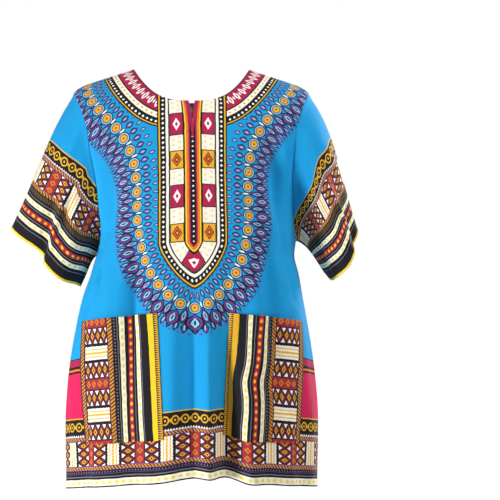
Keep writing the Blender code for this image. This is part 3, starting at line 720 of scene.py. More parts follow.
def sleeve_rings(side, edge, strength):
    """Rings of a sleeve's face from the armhole to the cuff, with cloth coordinates."""
    places = edge[1]
    rings = bare_rings(side, edge)
    legs = np.linalg.norm(np.diff(rings, axis=0), axis=-1)
    to_cuff = np.concatenate([np.cumsum(legs[::-1], axis=0)[::-1], np.zeros((1, len(places)))])
    whole = to_cuff[0]
    from_seam = whole - to_cuff
    around = np.broadcast_to(places * SLEEVE_HALF_ROUND, to_cuff.shape)
    out = crease_push(SLEEVES[side][2], around, to_cuff, strength)
    out *= ease(from_seam / SLEEVE_STILL)
    out += HEM_RISE * (1.0 - ease((to_cuff - HEM_TURN) / HEM_STEP))
    rise = 1.0 - bell(from_seam, SLEEVE_RISE_WIDTH)
    out += SLEEVE_RISE * rise * (1.0 - ease(from_seam / whole))
    wrapped = np.concatenate([rings[:, -1:], rings, rings[:, :1]], axis=1)
    normals = grid_normals(wrapped)[:, 1:-1] * -side
    rings = rings + normals * out[..., None]
    if side == RIGHT:       # here the upper bands crowd together towards the armhole
        crowd = read(RIGHT_CUFF_CROWD, "extra", places)
        to_cuff = to_cuff + crowd * (to_cuff / whole) ** CROWD_POWER
    return rings, around, to_cuff


# ---------------------------------------------------------------- meshes
LAYOUT_OUTSIDE = 0.76       # the outside's share of the flat layout's width
LAYOUT_MARGIN = 0.006       # bare border round each part of it, as a share too
LAYOUT_EDGE = 2 * MM        # how wide a cut edge is drawn there
MERGE_GAP = 1e-6            # points nearer than this are one


def lay_out(piece, count, points):
    """Spreads the faces flat in a UV map: the `count` outside ones large, the inside
    narrower beside them, and the cut edges along the outside's borders. The outside has
    the first `points` vertices."""
    mesh = piece.data
    place = np.empty((len(mesh.loops), 3), np.float32)
    mesh.attributes["cloth"].data.foreach_get("vector", place.ravel())
    place = place[:, :2].astype(float)
    vertex = np.empty(len(mesh.loops), np.int32)
    mesh.loops.foreach_get("vertex_index", vertex)
    starts = np.empty(len(mesh.polygons), np.int32)
    mesh.polygons.foreach_get("loop_start", starts)
    inside, edge = starts[count], starts[2 * count]

    after = np.arange(1, inside + 1)
    after[starts[1:count + 1] - 1] = starts[:count]
    x, y = place[:inside].T
    place[:, 0] *= np.sign(np.sum(x * y[after] - y * x[after]))     # never mirrored
    rim = np.arange(edge, len(place)).reshape(-1, 4)
    outer = vertex[rim] < points
    first = np.argmax(outer & np.roll(outer, -1, axis=1), axis=1)
    near_a, near_b, far_b, far_a = (rim[np.arange(len(rim)), (first + step) % 4]
                                    for step in range(4))
    way = unit(place[near_b] - place[near_a])
    out = np.stack([-way[:, 1], way[:, 0]], axis=-1) * LAYOUT_EDGE
    place[far_a] = place[near_a] + out
    place[far_b] = place[near_b] + out

    low, high = place.min(axis=0), place.max(axis=0)
    share = LAYOUT_MARGIN + (1 - 2 * LAYOUT_MARGIN) * (place - low) / (high - low)
    seen_inside = 1 - (1 - LAYOUT_OUTSIDE) * share[inside:edge, 0]
    share[:, 0] *= LAYOUT_OUTSIDE
    share[inside:edge, 0] = seen_inside
    layout = mesh.uv_layers.new(name="OFBake")
    layout.uv.foreach_set("vector", share.astype(np.float32).ravel())


def sheet_mesh(name, grids, flipped, turn):
    """One layer of faces over grids of points, with their attributes at its corners."""
    corners, faces, values, start = [], [], {}, 0
    for (points, attributes), flip in zip(grids, flipped):
        high, wide = points.shape[:2]
        index = start + np.arange(high * wide).reshape(high, wide)
        right = np.roll(index, -1, axis=1) if turn else index[:, 1:]
        left = index if turn else index[:, :-1]
        quads = np.stack([left[:-1], right[:-1], right[1:], left[1:]], axis=-1).reshape(-1, 4)
        order = (3, 2, 1, 0) if flip else (0, 1, 2, 3)
        faces.append(quads[:, order])
        corners.append(points.reshape(-1, 3))
        for key, value in attributes.items():
            value = value.reshape(-1, 3)[quads - start]
            if turn:
                back = value[:, 0, 0] - value[:, 1, 0] > turn / 2
                value[back, 0, 0] -= turn
                value[back, 3, 0] -= turn
            values.setdefault(key, []).append(value[:, order].reshape(-1, 3))
        start += high * wide
    mesh = bpy.data.meshes.new(name)
    mesh.from_pydata(np.concatenate(corners).tolist(), [], np.concatenate(faces).tolist())
    for key, parts in values.items():
        layer = mesh.attributes.new(key, "FLOAT_VECTOR", "CORNER")
        layer.data.foreach_set("vector", np.concatenate(parts).astype(np.float32).ravel())
    mesh.shade_smooth()
    return mesh


def merge_seams(piece):
    """Joins the grids of a sheet where they meet."""
    for other in bpy.context.selected_objects:
        other.select_set(False)
    piece.select_set(True)
    bpy.context.view_layer.objects.active = piece
    bpy.ops.object.mode_set(mode="EDIT")
    bpy.ops.mesh.select_all(action="SELECT")
    bpy.ops.mesh.remove_doubles(threshold=MERGE_GAP)
    bpy.ops.object.mode_set(mode="OBJECT")


def lay_sheet(name, grids, flipped, wall, turn=None):
    """A named sheet of cloth over grids of (points, attributes), one wall thick. The
    grids share their seams, and the wall grows inwards. A closed sheet has the length
    of one turn in its coordinates."""
    piece = bpy.data.objects.new(name, sheet_mesh(name, grids, flipped, turn))
    bpy.context.scene.collection.objects.link(piece)
    merge_seams(piece)
    size = len(piece.data.polygons), len(piece.data.vertices)
    thickness = piece.modifiers.new("Cloth", "SOLIDIFY")
    thickness.thickness = wall
    thickness.offset = -1.0
    thickness.use_rim = True
    bpy.ops.object.modifier_apply(modifier=thickness.name)
    wears = np.zeros(len(piece.data.polygons), np.int32)
    wears[size[0]:2 * size[0]] = 1          # the inside wears the reverse
    piece.data.polygons.foreach_set("material_index", wears)
    lay_out(piece, *size)
    return piece


def dress(piece, node, finishes):
    """Gives a piece its two finishes, hides its solid and sets it on the body."""
    for finish in finishes:
        piece.data.materials.append(finish)
    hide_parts(node)
    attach(piece, "root")


# ---------------------------------------------------------------- colours
def linear(code):
    """A colour as the shader wants it, from its sRGB hex code."""
    parts = [int(code[i:i + 2], 16) / 255 for i in (1, 3, 5)]
    return [p / 12.92 if p <= 0.04045 else ((p + 0.055) / 1.055) ** 2.4 for p in parts] + [1.0]


TURQUOISE = "#0E9CDB"
CRIMSON = "#B01F4E"
PINK = "#D91C5A"
CREAM = "#FBF4E2"
WHITE = "#FFFEFA"
GOLD = "#E8B22C"
YELLOW = "#FBD22A"
PALE_YELLOW = "#F1DF62"
# A darker copy of YELLOW for the right pocket's strips: painted shade of its fold.
PAINTED_SHADE_GOLD = "#DFA924"
ORANGE = "#EC7A28"
BRICK = "#A82D33"
PURPLE = "#6E3F93"
PLUM = "#3A1B30"
BLACK = "#17141A"
GREY = "#74757C"
SKY = "#8ACBEA"
STRAW = "#DFC894"
AMBER = "#D99434"
OLIVE = "#6E5C34"
THREAD_COLOUR = "#2A2630"
CLEAR = None                # lets the cloth under it show


def add(tree, kind, inputs=(), stops=None, **settings):
    """Adds a node with its settings, links or values in order or by socket, and colour
    stops, and gives back the node. A node among the inputs stands for its first output.
    A Mix of colours takes the upper one's share as 0, the lower as 6 and the upper as 7.
    """
    node = tree.nodes.new("ShaderNode" + kind)
    for name, value in settings.items():
        setattr(node, name, value)
    for socket, value in (inputs.items() if isinstance(inputs, dict) else enumerate(inputs)):
        if isinstance(value, bpy.types.Node):
            value = next(output for output in value.outputs if output.enabled)
        if isinstance(value, bpy.types.NodeSocket):
            tree.links.new(value, node.inputs[socket])
        else:
            node.inputs[socket].default_value = value
    if stops:
        ramp = node.color_ramp
        ramp.interpolation = "CONSTANT"
        while len(ramp.elements) < len(stops):
            ramp.elements.new(1.0)
        for element, (place, code) in zip(ramp.elements, stops):
            element.position = place
            element.color = linear(code) if code else (0.0, 0.0, 0.0, 0.0)
    return node


def bands(strips, total=1.0):
    """Colour stops: each strip ends at its own share of the total, and clear beyond."""
    starts = [0.0] + [end / total for end, _ in strips]
    return list(zip(starts, [code for _, code in strips] + [CLEAR]))


def stripes(tree, height, strips, total, under):
    """Plain stripes: each strip ends at its own height, in millimetres."""
    share = add(tree, "Math", [height, 1 / (total * MM)], operation="MULTIPLY")
    ramp = add(tree, "ValToRGB", [share], stops=bands(strips, total))
    return add(tree, "Mix", {0: ramp.outputs[1], 6: under, 7: ramp}, data_type="RGBA")


def from_nearest(tree, along, pitch, shift=0):
    """How far a point is from the nearest of a row of places `pitch` apart."""
    if shift:
        along = add(tree, "Math", [along, shift * MM], operation="ADD")
    return add(tree, "Math", [along, pitch / 2 * MM], operation="PINGPONG")


def between(tree, height, low, high):
    """1 between two heights in millimetres, and 0 elsewhere."""
    return add(tree, "Math", [height, (low + high) / 2 * MM, (high - low) / 2 * MM],
               operation="COMPARE")


Motif = namedtuple("Motif", "pitch shift middle wide tall shape rings")


def motif_row(tree, along, height, motif, under):
    """A row of one printed motif, in millimetres: rings of colour about points `pitch`
    apart at the height `middle`. Its shape is a lozenge, round, block or leaf."""
    near = from_nearest(tree, along, motif.pitch, motif.shift)
    near = add(tree, "Math", [near, 1 / (motif.wide * MM)], operation="MULTIPLY")
    over = add(tree, "Math", [height, 1 / (motif.tall * MM), -motif.middle / motif.tall],
               operation="MULTIPLY_ADD")
    if motif.shape == "leaf":
        reach = add(tree, "Math", [over, over, near], operation="MULTIPLY_ADD")
    elif motif.shape == "round":
        near = add(tree, "Math", [near, near], operation="MULTIPLY")
        over = add(tree, "Math", [over, over, near], operation="MULTIPLY_ADD")
        reach = add(tree, "Math", [over], operation="SQRT")
    else:
        over = add(tree, "Math", [over], operation="ABSOLUTE")
        join = "MAXIMUM" if motif.shape == "block" else "ADD"
        reach = add(tree, "Math", [near, over], operation=join)
    ramp = add(tree, "ValToRGB", [reach], stops=bands(motif.rings))
    return add(tree, "Mix", {0: ramp.outputs[1], 6: under, 7: ramp}, data_type="RGBA")


Teeth = namedtuple("Teeth", "pitch low high colour")


def saw_teeth(tree, along, height, teeth, under):
    """A row of filled saw teeth."""
    climb = from_nearest(tree, along, teeth.pitch)
    slope = (teeth.high - teeth.low) / (teeth.pitch / 2)
    edge = add(tree, "Math", [climb, slope, teeth.low * MM], operation="MULTIPLY_ADD")
    below = add(tree, "Math", [height, edge], operation="LESS_THAN")
    above = add(tree, "Math", [height, teeth.low * MM], operation="GREATER_THAN")
    mask = add(tree, "Math", [below, above], operation="MULTIPLY")
    return add(tree, "Mix", {0: mask, 6: under, 7: linear(teeth.colour)}, data_type="RGBA")


Cord = namedtuple("Cord", "low high pitch colour")
CORD_SLANT = 0.8            # how far its strokes lean, for their height
CORD_STROKE = 0.22          # half a stroke's width, as a share of the pitch


def printed_cord(tree, along, height, cord, under):
    """A printed cord: short slanting strokes in a row."""
    slant = add(tree, "Math", [height, CORD_SLANT, along], operation="MULTIPLY_ADD")
    stroke = from_nearest(tree, slant, cord.pitch)
    stroke = add(tree, "Math", [stroke, cord.pitch * CORD_STROKE * MM], operation="LESS_THAN")
    inside = between(tree, height, cord.low, cord.high)
    mask = add(tree, "Math", [stroke, inside], operation="MULTIPLY")
    return add(tree, "Mix", {0: mask, 6: under, 7: linear(cord.colour)}, data_type="RGBA")


# A row of blocks: red ones, lattices and cream ones in turn, parted by dark bars. The
# stops are shares of half the pitch, from the middle of a red block. A lattice is so
# many cells tall.
Blocks = namedtuple("Blocks", "low high pitch shift cells")
BLOCK_STOPS = ((0.0, BRICK), (0.165, PLUM), (0.72, BLACK), (0.785, CREAM), (0.86, GOLD),
               (0.895, CREAM), (0.965, GOLD))
RED_HALF, LATTICE_MIDDLE, LATTICE_HALF = 0.150, 0.45, 0.235
RED_RINGS = ((0.22, PLUM), (0.42, ORANGE), (0.60, BRICK), (0.74, GOLD))
LATTICE_RINGS = ((0.11, BLACK), (0.27, GOLD), (0.36, PLUM), (0.45, BRICK), (0.70, PLUM),
                 (1.1, WHITE))
SCALLOP = 1.0               # millimetres that the blocks' edges wave in and out
SCALLOPS = 5                # waves for two cells


def red_blocks(tree, aside, climb, half, under):
    """Rings of lozenges in the red blocks, where `climb` runs from 0 to 1 in a cell."""
    from_red = add(tree, "Math", [aside, 1 / (RED_HALF * half * MM), climb],
                   operation="MULTIPLY_ADD")
    red = add(tree, "ValToRGB", [from_red], stops=bands(RED_RINGS))
    inside = add(tree, "Math", [aside, RED_HALF * half * MM], operation="LESS_THAN")
    mask = add(tree, "Math", [inside, red.outputs[1]], operation="MULTIPLY")
    return add(tree, "Mix", {0: mask, 6: under, 7: red}, data_type="RGBA")


def lattices(tree, aside, climb, half, under):
    """Lozenges that meet and fill the block between a red one and a cream one."""
    from_middle = add(tree, "Math", [aside, -LATTICE_MIDDLE * half * MM], operation="ADD")
    from_middle = add(tree, "Math", [from_middle], operation="ABSOLUTE")
    reach = add(tree, "Math", [from_middle, 1 / (LATTICE_HALF * half * MM), climb],
                operation="MULTIPLY_ADD")
    reach = add(tree, "Math", [reach, 0.5], operation="MULTIPLY")
    lattice = add(tree, "ValToRGB", [reach], stops=bands(LATTICE_RINGS))
    inside = add(tree, "Math", [from_middle, LATTICE_HALF * half * MM], operation="LESS_THAN")
    return add(tree, "Mix", {0: inside, 6: under, 7: lattice}, data_type="RGBA")


def blocks(tree, along, height, row, under):
    """A row of blocks between two heights."""
    half, cell = row.pitch / 2, (row.high - row.low) / row.cells
    scallop = cell / SCALLOPS
    aside = from_nearest(tree, along, row.pitch, row.shift)
    above = add(tree, "Math", [height, -row.low * MM], operation="ADD")
    wave = add(tree, "Math", [above, scallop * MM], operation="PINGPONG")
    wave = add(tree, "Math", [wave, SCALLOP / scallop, -SCALLOP / 2 * MM],
               operation="MULTIPLY_ADD")
    waved = add(tree, "Math", [aside, wave], operation="ADD")
    share = add(tree, "Math", [waved, 1 / (half * MM)], operation="MULTIPLY")
    colour = add(tree, "ValToRGB", [share], stops=BLOCK_STOPS)
    climb = add(tree, "Math", [above, cell / 2 * MM], operation="SUBTRACT")
    climb = add(tree, "Math", [climb, cell / 2 * MM], operation="PINGPONG")
    climb = add(tree, "Math", [climb, 2 / (cell * MM)], operation="MULTIPLY")
    colour = red_blocks(tree, aside, climb, half, colour)
    colour = lattices(tree, aside, climb, half, colour)
    inside = between(tree, height, row.low, row.high)
    return add(tree, "Mix", {0: inside, 6: under, 7: colour}, data_type="RGBA")


# ---------------------------------------------------------------- borders
# A border has plain stripes, each ending at its height in millimetres, then motifs,
# cords, teeth and a row of blocks on top.
Border = namedtuple("Border", "total strips motifs cords teeth blocks")


def stitches(middle):
    """A row of machine stitches, drawn a little bolder than 3 mm stitches are."""
    return Motif(4.2, 0, middle, 1.3, 0.45, "block", ((1.0, THREAD_COLOUR),))


BEADS = ((0.45, YELLOW), (0.78, ORANGE), (1.0, BRICK))
HOOPS = ((0.22, GOLD), (0.60, BLACK), (0.88, GOLD))
HEM = Border(
    total=127,
    strips=((2, BLACK), (14, CREAM), (17.5, BLACK), (19.5, GREY), (23.5, BLACK), (24.5, PURPLE),
            (30, BLACK), (31, PURPLE), (37, AMBER), (38.5, PURPLE), (83, PLUM),
            (84.5, PURPLE), (90.5, AMBER), (92, PURPLE), (96, PLUM), (124, BLACK),
            (126, GOLD)),
    motifs=(Motif(12.5, 0, 8.4, 3.8, 3.2, "round", ((1.0, PALE_YELLOW),)),
            Motif(5.5, 0, 27.2, 1.4, 1.8, "lozenge", ((1.0, GREY),)),
            Motif(17.0, 0, 110.0, 7.8, 9.6, "round", HOOPS),
            Motif(17.0, 8.5, 110.0, 1.5, 3.6, "leaf", ((1.0, GOLD),)),
            stitches(15.6)),
    cords=(Cord(31, 37, 6.0, PLUM), Cord(84.5, 90.5, 6.0, PLUM)),
    teeth=Teeth(4.8, 92, 96, WHITE),
    blocks=Blocks(39, 83, 96, 0, 3))
CUFF = Border(
    total=180,
    strips=((4, YELLOW), (20, BLACK), (21.4, GREY), (27, BLACK), (35.5, CREAM),
            (39, BLACK), (40.4, GREY), (44, BLACK), (53, CRIMSON), (57, BLACK),
            (58.4, GREY), (62, BLACK), (71, CREAM), (75, BLACK), (76.4, GREY),
            (80, BLACK), (89, BLACK), (90.5, PLUM), (96.5, AMBER), (97.5, PURPLE),
            (140, PLUM), (141.5, PURPLE), (147.5, AMBER), (149, PURPLE), (152, PLUM),
            (177, BLACK), (179, GOLD)),
    motifs=(Motif(12.0, 0, 31.3, 3.6, 2.6, "round", ((1.0, PALE_YELLOW),)),
            Motif(12.0, 0, 66.5, 3.6, 2.6, "round", ((1.0, PALE_YELLOW),)),
            Motif(12.0, 0, 48.5, 5.2, 4.2, "round", BEADS),
            Motif(17.0, 0, 164.5, 7.8, 9.6, "round", HOOPS),
            Motif(17.0, 8.5, 164.5, 1.5, 3.6, "leaf", ((1.0, GOLD),)),
            stitches(5.4)),
    cords=(Cord(80.5, 88.5, 4.0, OLIVE), Cord(90.5, 96.5, 6.0, PLUM),
           Cord(141.5, 147.5, 6.0, PLUM)),
    teeth=Teeth(4.8, 149, 152, WHITE),
    blocks=Blocks(98, 140, 96, 30, 3))
POCKET = Border(
    total=155,
    strips=((8, PLUM), (17, YELLOW), (31, BLACK), (32.6, GREY), (34.5, BLACK),
            (41.5, CREAM), (45.5, BLACK), (47, GREY), (51, BLACK), (58.5, CRIMSON),
            (64, BLACK), (71.5, CREAM), (74, BLACK), (75.3, GREY), (76.5, BLACK),
            (82, BLACK), (83.2, PLUM), (90.5, AMBER), (92, PLUM), (141, PLUM),
            (143.5, PLUM), (152.0, AMBER), (155, PLUM)),
    motifs=(Motif(13.0, 0, 38.0, 4.2, 2.2, "round", ((1.0, PALE_YELLOW),)),
            Motif(13.0, 6.5, 67.8, 4.2, 2.2, "round", ((1.0, PALE_YELLOW),)),
            Motif(13.5, 0, 54.8, 5.6, 3.6, "round", BEADS),
            Motif(6.0, 0, 79.3, 1.7, 1.7, "lozenge", ((1.0, GREY),)),
            stitches(2.4), stitches(152.6)),
    cords=(Cord(83.2, 90.5, 6.5, PLUM), Cord(143.5, 152.0, 6.5, PLUM)),
    teeth=Teeth(4.0, 0.5, 9.5, GOLD),
    blocks=Blocks(93, 140.5, 112, 3, 4))


def border(tree, along, height, design, under):
    """A printed border: its stripes, and all that is printed on them."""
    colour = stripes(tree, height, design.strips, design.total, under)
    for motif in design.motifs:
        colour = motif_row(tree, along, height, motif, colour)
    for cord in design.cords:
        colour = printed_cord(tree, along, height, cord, colour)
    colour = saw_teeth(tree, along, height, design.teeth, colour)
    return blocks(tree, along, height, design.blocks, colour)


# ---------------------------------------------------------------- yoke
PLACKET_FOOT = -0.318       # where the sides of the placket's bands end, up
PLACKET_POINT = 1.35        # how much longer a band is below there than it is wide
PLACKET_CURVE = 1.36        # 2 rounds the foot off, and 1 brings it to a straight point
FOOT_SAMPLES = 200
SLIT_WEDGE_FOOT = -0.136    # a plain wedge is printed round the slit, down to here
SLIT_WEDGE_SLOPE = 0.115    # its half width for each metre up from there
PLACKET_STRIPS = (63, ((5, BLACK), (7.5, CRIMSON), (11.5, ORANGE), (14, YELLOW),
                       (16.5, BLACK), (40.5, CREAM), (43, BLACK), (47.5, CREAM),
                       (58, BLACK), (60.5, GOLD), (63, BLACK)))
PLACKET_MOTIFS = table(
    Motif,
    (9.0, 0, 0, 1.5, 1.5, "round", ((1.0, WHITE),)),
    (10.0, 5.0, 34.0, 2.0, 3.0, "lozenge", ((0.5, CREAM), (1.0, STRAW))),
    (10.0, 0.0, 23.0, 2.0, 3.0, "lozenge", ((0.5, CREAM), (1.0, STRAW))),
    (132.0, 0, 28.5, 21.0, 12.0, "block", ((0.92, CRIMSON), (1.0, BLACK))),
    (132.0, 0, 28.5, 18.0, 10.0, "lozenge", ((0.26, CRIMSON), (0.66, WHITE), (0.78, PINK))),
    (132.0, 66.0, 28.5, 17.0, 12.0, "block", ((0.90, GOLD), (1.0, BLACK))),
    (132.0, 66.0, 28.5, 14.5, 10.0, "lozenge",
     ((0.22, GOLD), (0.46, BLACK), (0.62, ORANGE), (0.92, BRICK))),
    (9.0, 4.5, 52.7, 2.6, 2.6, "lozenge", ((1.0, WHITE),)))
COLLAR_STRIPS = (57, ((1.5, BLACK), (29, CRIMSON), (31.5, BLACK), (41, CREAM),
                      (43.5, BLACK), (52.5, BLACK), (54.5, GOLD), (57, BLACK)))
COLLAR_MOTIFS = table(
    Motif,
    stitches(3.4),
    (15.0, 0, 15.2, 4.4, 10.5, "leaf", ((0.30, PINK), (0.88, WHITE))),
    (15.0, 7.5, 15.2, 1.8, 5.0, "lozenge", ((1.0, WHITE),)),
    (11.0, 0, 36.3, 1.7, 1.9, "block", ((1.0, GOLD),)),
    (9.0, 0, 48.0, 2.6, 2.6, "lozenge", ((1.0, WHITE),)))
GARLAND_MOTIFS = table(
    Motif,
    (GARLAND_PITCH / 2, GARLAND_PITCH / 4, -36.0, 3.0, 6.5, "leaf",
     ((0.36, SKY), (0.72, PURPLE), (1.0, BLACK))),
    (GARLAND_PITCH / 2, 0, -20.5, 5.0, 8.5, "leaf",
     ((0.26, SKY), (0.66, PURPLE), (1.0, BLACK))),
    (GARLAND_PITCH / 3, 0, 37.0, 3.3, 11.0, "leaf",
     ((0.26, SKY), (0.62, PURPLE), (1.0, BLACK))),
    (GARLAND_PITCH, 0, 27.0, 10.0, 16.0, "leaf",
     ((0.12, BLACK), (0.34, SKY), (0.48, BLACK), (0.78, PURPLE), (1.0, BLACK))),
    (GARLAND_PITCH, GARLAND_PITCH / 2, 17.5, 5.8, 14.5, "leaf",
     ((0.16, BLACK), (0.38, SKY), (0.66, PURPLE), (1.0, BLACK))),
    (GARLAND_PITCH, GARLAND_PITCH / 2, -4.5, 3.2, 9.0, "leaf",
     ((0.5, WHITE), (1.0, BLACK))),
    (GARLAND_PITCH, 0, 0, 11.6, 11.6, "round",
     ((0.16, BRICK), (0.46, GOLD), (0.58, ORANGE), (0.66, BLACK), (0.84, SKY),
      (1.0, BLACK))),
    (GARLAND_PITCH / 3, GARLAND_PITCH / 6, 47.5, 1.5, 1.5, "round", ((1.0, PURPLE),)))


def foot_length():
    """Length of the placket's foot curve for each radian of turn, at one metre wide."""
    turn = np.linspace(0.0, pi / 2, FOOT_SAMPLES)
    x = np.cos(turn) ** (2 / PLACKET_CURVE)
    z = PLACKET_POINT * np.sin(turn) ** (2 / PLACKET_CURVE)
    return np.hypot(np.diff(x), np.diff(z)).sum() / (pi / 2)


def placket(tree, aside, up, under):
    """Bands down both sides of the centre front, which meet at a point."""
    below = add(tree, "Math", [PLACKET_FOOT, up], operation="SUBTRACT")
    beside = add(tree, "Math", [below, 0.0], operation="MINIMUM")
    below = add(tree, "Math", [below, 0.0], operation="MAXIMUM")
    below = add(tree, "Math", [below, 1 / PLACKET_POINT], operation="MULTIPLY")
    turn = add(tree, "Math", [below, aside], operation="ARCTAN2")
    across = add(tree, "Math", [aside, PLACKET_CURVE], operation="POWER")
    down = add(tree, "Math", [below, PLACKET_CURVE], operation="POWER")
    total = add(tree, "Math", [across, down], operation="ADD")
    distance = add(tree, "Math", [total, 1 / PLACKET_CURVE], operation="POWER")
    width, strips = PLACKET_STRIPS
    colour = stripes(tree, distance, strips, width, under)
    for motif in PLACKET_MOTIFS:
        reach = foot_length() * motif.middle * MM
        along = add(tree, "Math", [turn, reach, beside], operation="MULTIPLY_ADD")
        along = add(tree, "Math", [along, -reach * pi / 2], operation="ADD")
        colour = motif_row(tree, along, distance, motif, colour)
    reach = add(tree, "Math", [up, SLIT_WEDGE_SLOPE, -SLIT_WEDGE_FOOT * SLIT_WEDGE_SLOPE],
                operation="MULTIPLY_ADD")
    wedge = add(tree, "Math", [aside, reach], operation="LESS_THAN")
    return add(tree, "Mix", {0: wedge, 6: colour, 7: linear(CRIMSON)}, data_type="RGBA")


def coordinates(tree, name):
    """The three numbers of a cloth attribute."""
    attribute = add(tree, "Attribute", attribute_name=name)
    return add(tree, "SeparateXYZ", [attribute.outputs["Vector"]]).outputs


def yoke(tree, aside, up, has_placket, under):
    """A garland round the chest, bands round the neckline, and a placket over them."""
    colour = under
    run, _, distance = coordinates(tree, "garland")
    for motif in GARLAND_MOTIFS:
        colour = motif_row(tree, run, distance, motif, colour)
    run, turn, distance = coordinates(tree, "collar")
    width, strips = COLLAR_STRIPS
    colour = stripes(tree, distance, strips, width, colour)
    for motif in COLLAR_MOTIFS:
        along = add(tree, "Math", [turn, motif.middle * MM, run], operation="MULTIPLY_ADD")
        colour = motif_row(tree, along, distance, motif, colour)
    if has_placket:
        colour = placket(tree, aside, up, colour)
    return colour


# ---------------------------------------------------------------- cloth finish
# Printed cotton, plain woven. Its dry, matt face with hardly a highlight and a faint nap
# comes from COTTON, its rumpled look from the bump, and its life from uneven threads and
# blotchy dye. The reverse is paler, where the dye only comes through.
COTTON = {"Roughness": 0.82, "Specular IOR Level": 0.25, "Sheen Weight": 0.06,
          "Sheen Roughness": 0.45}
THREAD = 1.7 * MM           # plain weave, drawn four times its real pitch so it shows
THREAD_RELIEF = 0.10 * MM
SLUB_GRAIN = (900, 60, 1)   # so many to a metre: thick threads 1.1 mm wide, 17 mm long
BLOTCH_GRAIN = 9.0          # patches of dye, 110 mm across
BASE_TONE = 0.92            # how much of the print's colour there is, and what is added
WEAVE_TONE = 0.035
SLUB_TONE = 0.10
BLOTCH_TONE = 0.10
RUMPLE = 1.6 * MM
RUMPLE_GRAIN = 34.0         # rumples, 29 mm across
BUMP_STRENGTH = 0.8
REVERSE_TINT = "#A9B7BD"
REVERSE_SHARE = 0.38        # how much of the print that tint covers
PRINT_WANDER = 0.7 * MM     # how far the hand-set print strays from its line
WANDER_GRAIN = 70.0         # and it wanders about every 14 mm


def cloth_coordinates(tree):
    """How far across and up the cloth a point lies, with the print's small wander."""
    cloth = add(tree, "Attribute", attribute_name="cloth").outputs["Vector"]
    noise = add(tree, "TexNoise", {"Vector": cloth, "Scale": WANDER_GRAIN, "Detail": 1.0})
    stray = add(tree, "VectorMath", [noise.outputs["Color"], (0.5, 0.5, 0.5)],
                operation="SUBTRACT")
    stray = add(tree, "VectorMath", {0: stray, "Scale": PRINT_WANDER * 2}, operation="SCALE")
    strayed = add(tree, "VectorMath", [cloth, stray], operation="ADD")
    parts = add(tree, "SeparateXYZ", [strayed])
    return cloth, parts.outputs[0], parts.outputs[1]


def finish_cotton(tree, cloth, colour, reverse):
    """Plain-weave printed cotton: weave, slubs and dye over the print, and the bump."""
    shader = tree.nodes["Principled BSDF"]
    threads = add(tree, "VectorMath", {0: cloth, "Scale": 2 * pi / THREAD}, operation="SCALE")
    parts = add(tree, "SeparateXYZ", [threads])
    over = add(tree, "Math", [parts.outputs[0]], operation="SINE")
    under = add(tree, "Math", [parts.outputs[1]], operation="SINE")
    weave = add(tree, "Math", [over, under], operation="MULTIPLY")
    grain = add(tree, "VectorMath", [cloth, SLUB_GRAIN], operation="MULTIPLY")
    slub = add(tree, "TexNoise", {"Vector": grain, "Scale": 1.0})
    blotch = add(tree, "TexNoise", {"Vector": cloth, "Scale": BLOTCH_GRAIN, "Detail": 2.0})
    tone = add(tree, "Math", [weave, WEAVE_TONE, BASE_TONE], operation="MULTIPLY_ADD")
    tone = add(tree, "Math", [slub, SLUB_TONE, tone], operation="MULTIPLY_ADD")
    tone = add(tree, "Math", [blotch, BLOTCH_TONE, tone], operation="MULTIPLY_ADD")
    if reverse:
        colour = add(tree, "Mix", {0: REVERSE_SHARE, 6: colour, 7: linear(REVERSE_TINT)},
                     data_type="RGBA")
    shade = add(tree, "Mix", {0: 1.0, 6: colour, 7: tone}, data_type="RGBA",
                blend_type="MULTIPLY")
    tree.links.new(shade.outputs[2], shader.inputs["Base Color"])
    rumple = add(tree, "TexNoise", {"Vector": cloth, "Scale": RUMPLE_GRAIN, "Detail": 3.0})
    height = add(tree, "Math", [weave, THREAD_RELIEF], operation="MULTIPLY")
    height = add(tree, "Math", [rumple, RUMPLE, height], operation="MULTIPLY_ADD")
    bump = add(tree, "Bump", {"Strength": BUMP_STRENGTH, "Distance": 1.0, "Height": height})
    tree.links.new(bump.outputs[0], shader.inputs["Normal"])
    for socket, value in COTTON.items():
        shader.inputs[socket].default_value = value


# The pink blocks at both sides: where they start across, how far up from the hem they
# reach, and their stops as shares of that. A line frames the right one.
SIDE_START = 0.198
SIDE_TOP = 0.250
SIDE_STOPS = ((0.0, PINK), (0.835, BLACK), (0.848, ORANGE), (0.866, BLACK),
              (0.885, CRIMSON), (0.935, BLACK), (0.945, CLEAR))
SIDE_FRAME = 0.240
SIDE_FRAME_TOP = 0.210
SIDE_FRAME_STRIPS = ((2.5, BLACK), (4.5, ORANGE), (7.0, BLACK))


def panel_print(tree, ground, has_placket):
    """The print of the front or back: ground, side blocks, hem border and yoke."""
    cloth, across, up = cloth_coordinates(tree)
    aside = add(tree, "Math", [across], operation="ABSOLUTE")
    height = add(tree, "Math", [up, -HEM_LEVEL], operation="ADD")
    at_side = add(tree, "Math", [aside, SIDE_START], operation="GREATER_THAN")
    share = add(tree, "Math", [height, 1 / SIDE_TOP], operation="MULTIPLY")
    side = add(tree, "ValToRGB", [share], stops=SIDE_STOPS)
    mask = add(tree, "Math", [side.outputs[1], at_side], operation="MULTIPLY")
    colour = add(tree, "Mix", {0: mask, 6: ground, 7: side}, data_type="RGBA")
    out = add(tree, "Math", [across, -SIDE_FRAME], operation="ADD")
    frame = stripes(tree, out, SIDE_FRAME_STRIPS, SIDE_FRAME_STRIPS[-1][0], side.outputs[0])
    below = add(tree, "Math", [height, SIDE_FRAME_TOP], operation="LESS_THAN")
    beyond = add(tree, "Math", [out, 0.0], operation="GREATER_THAN")
    mask = add(tree, "Math", [below, beyond], operation="MULTIPLY")
    colour = add(tree, "Mix", {0: mask, 6: colour, 7: frame}, data_type="RGBA")
    colour = border(tree, across, height, HEM, colour)
    return cloth, yoke(tree, aside, up, has_placket, colour)


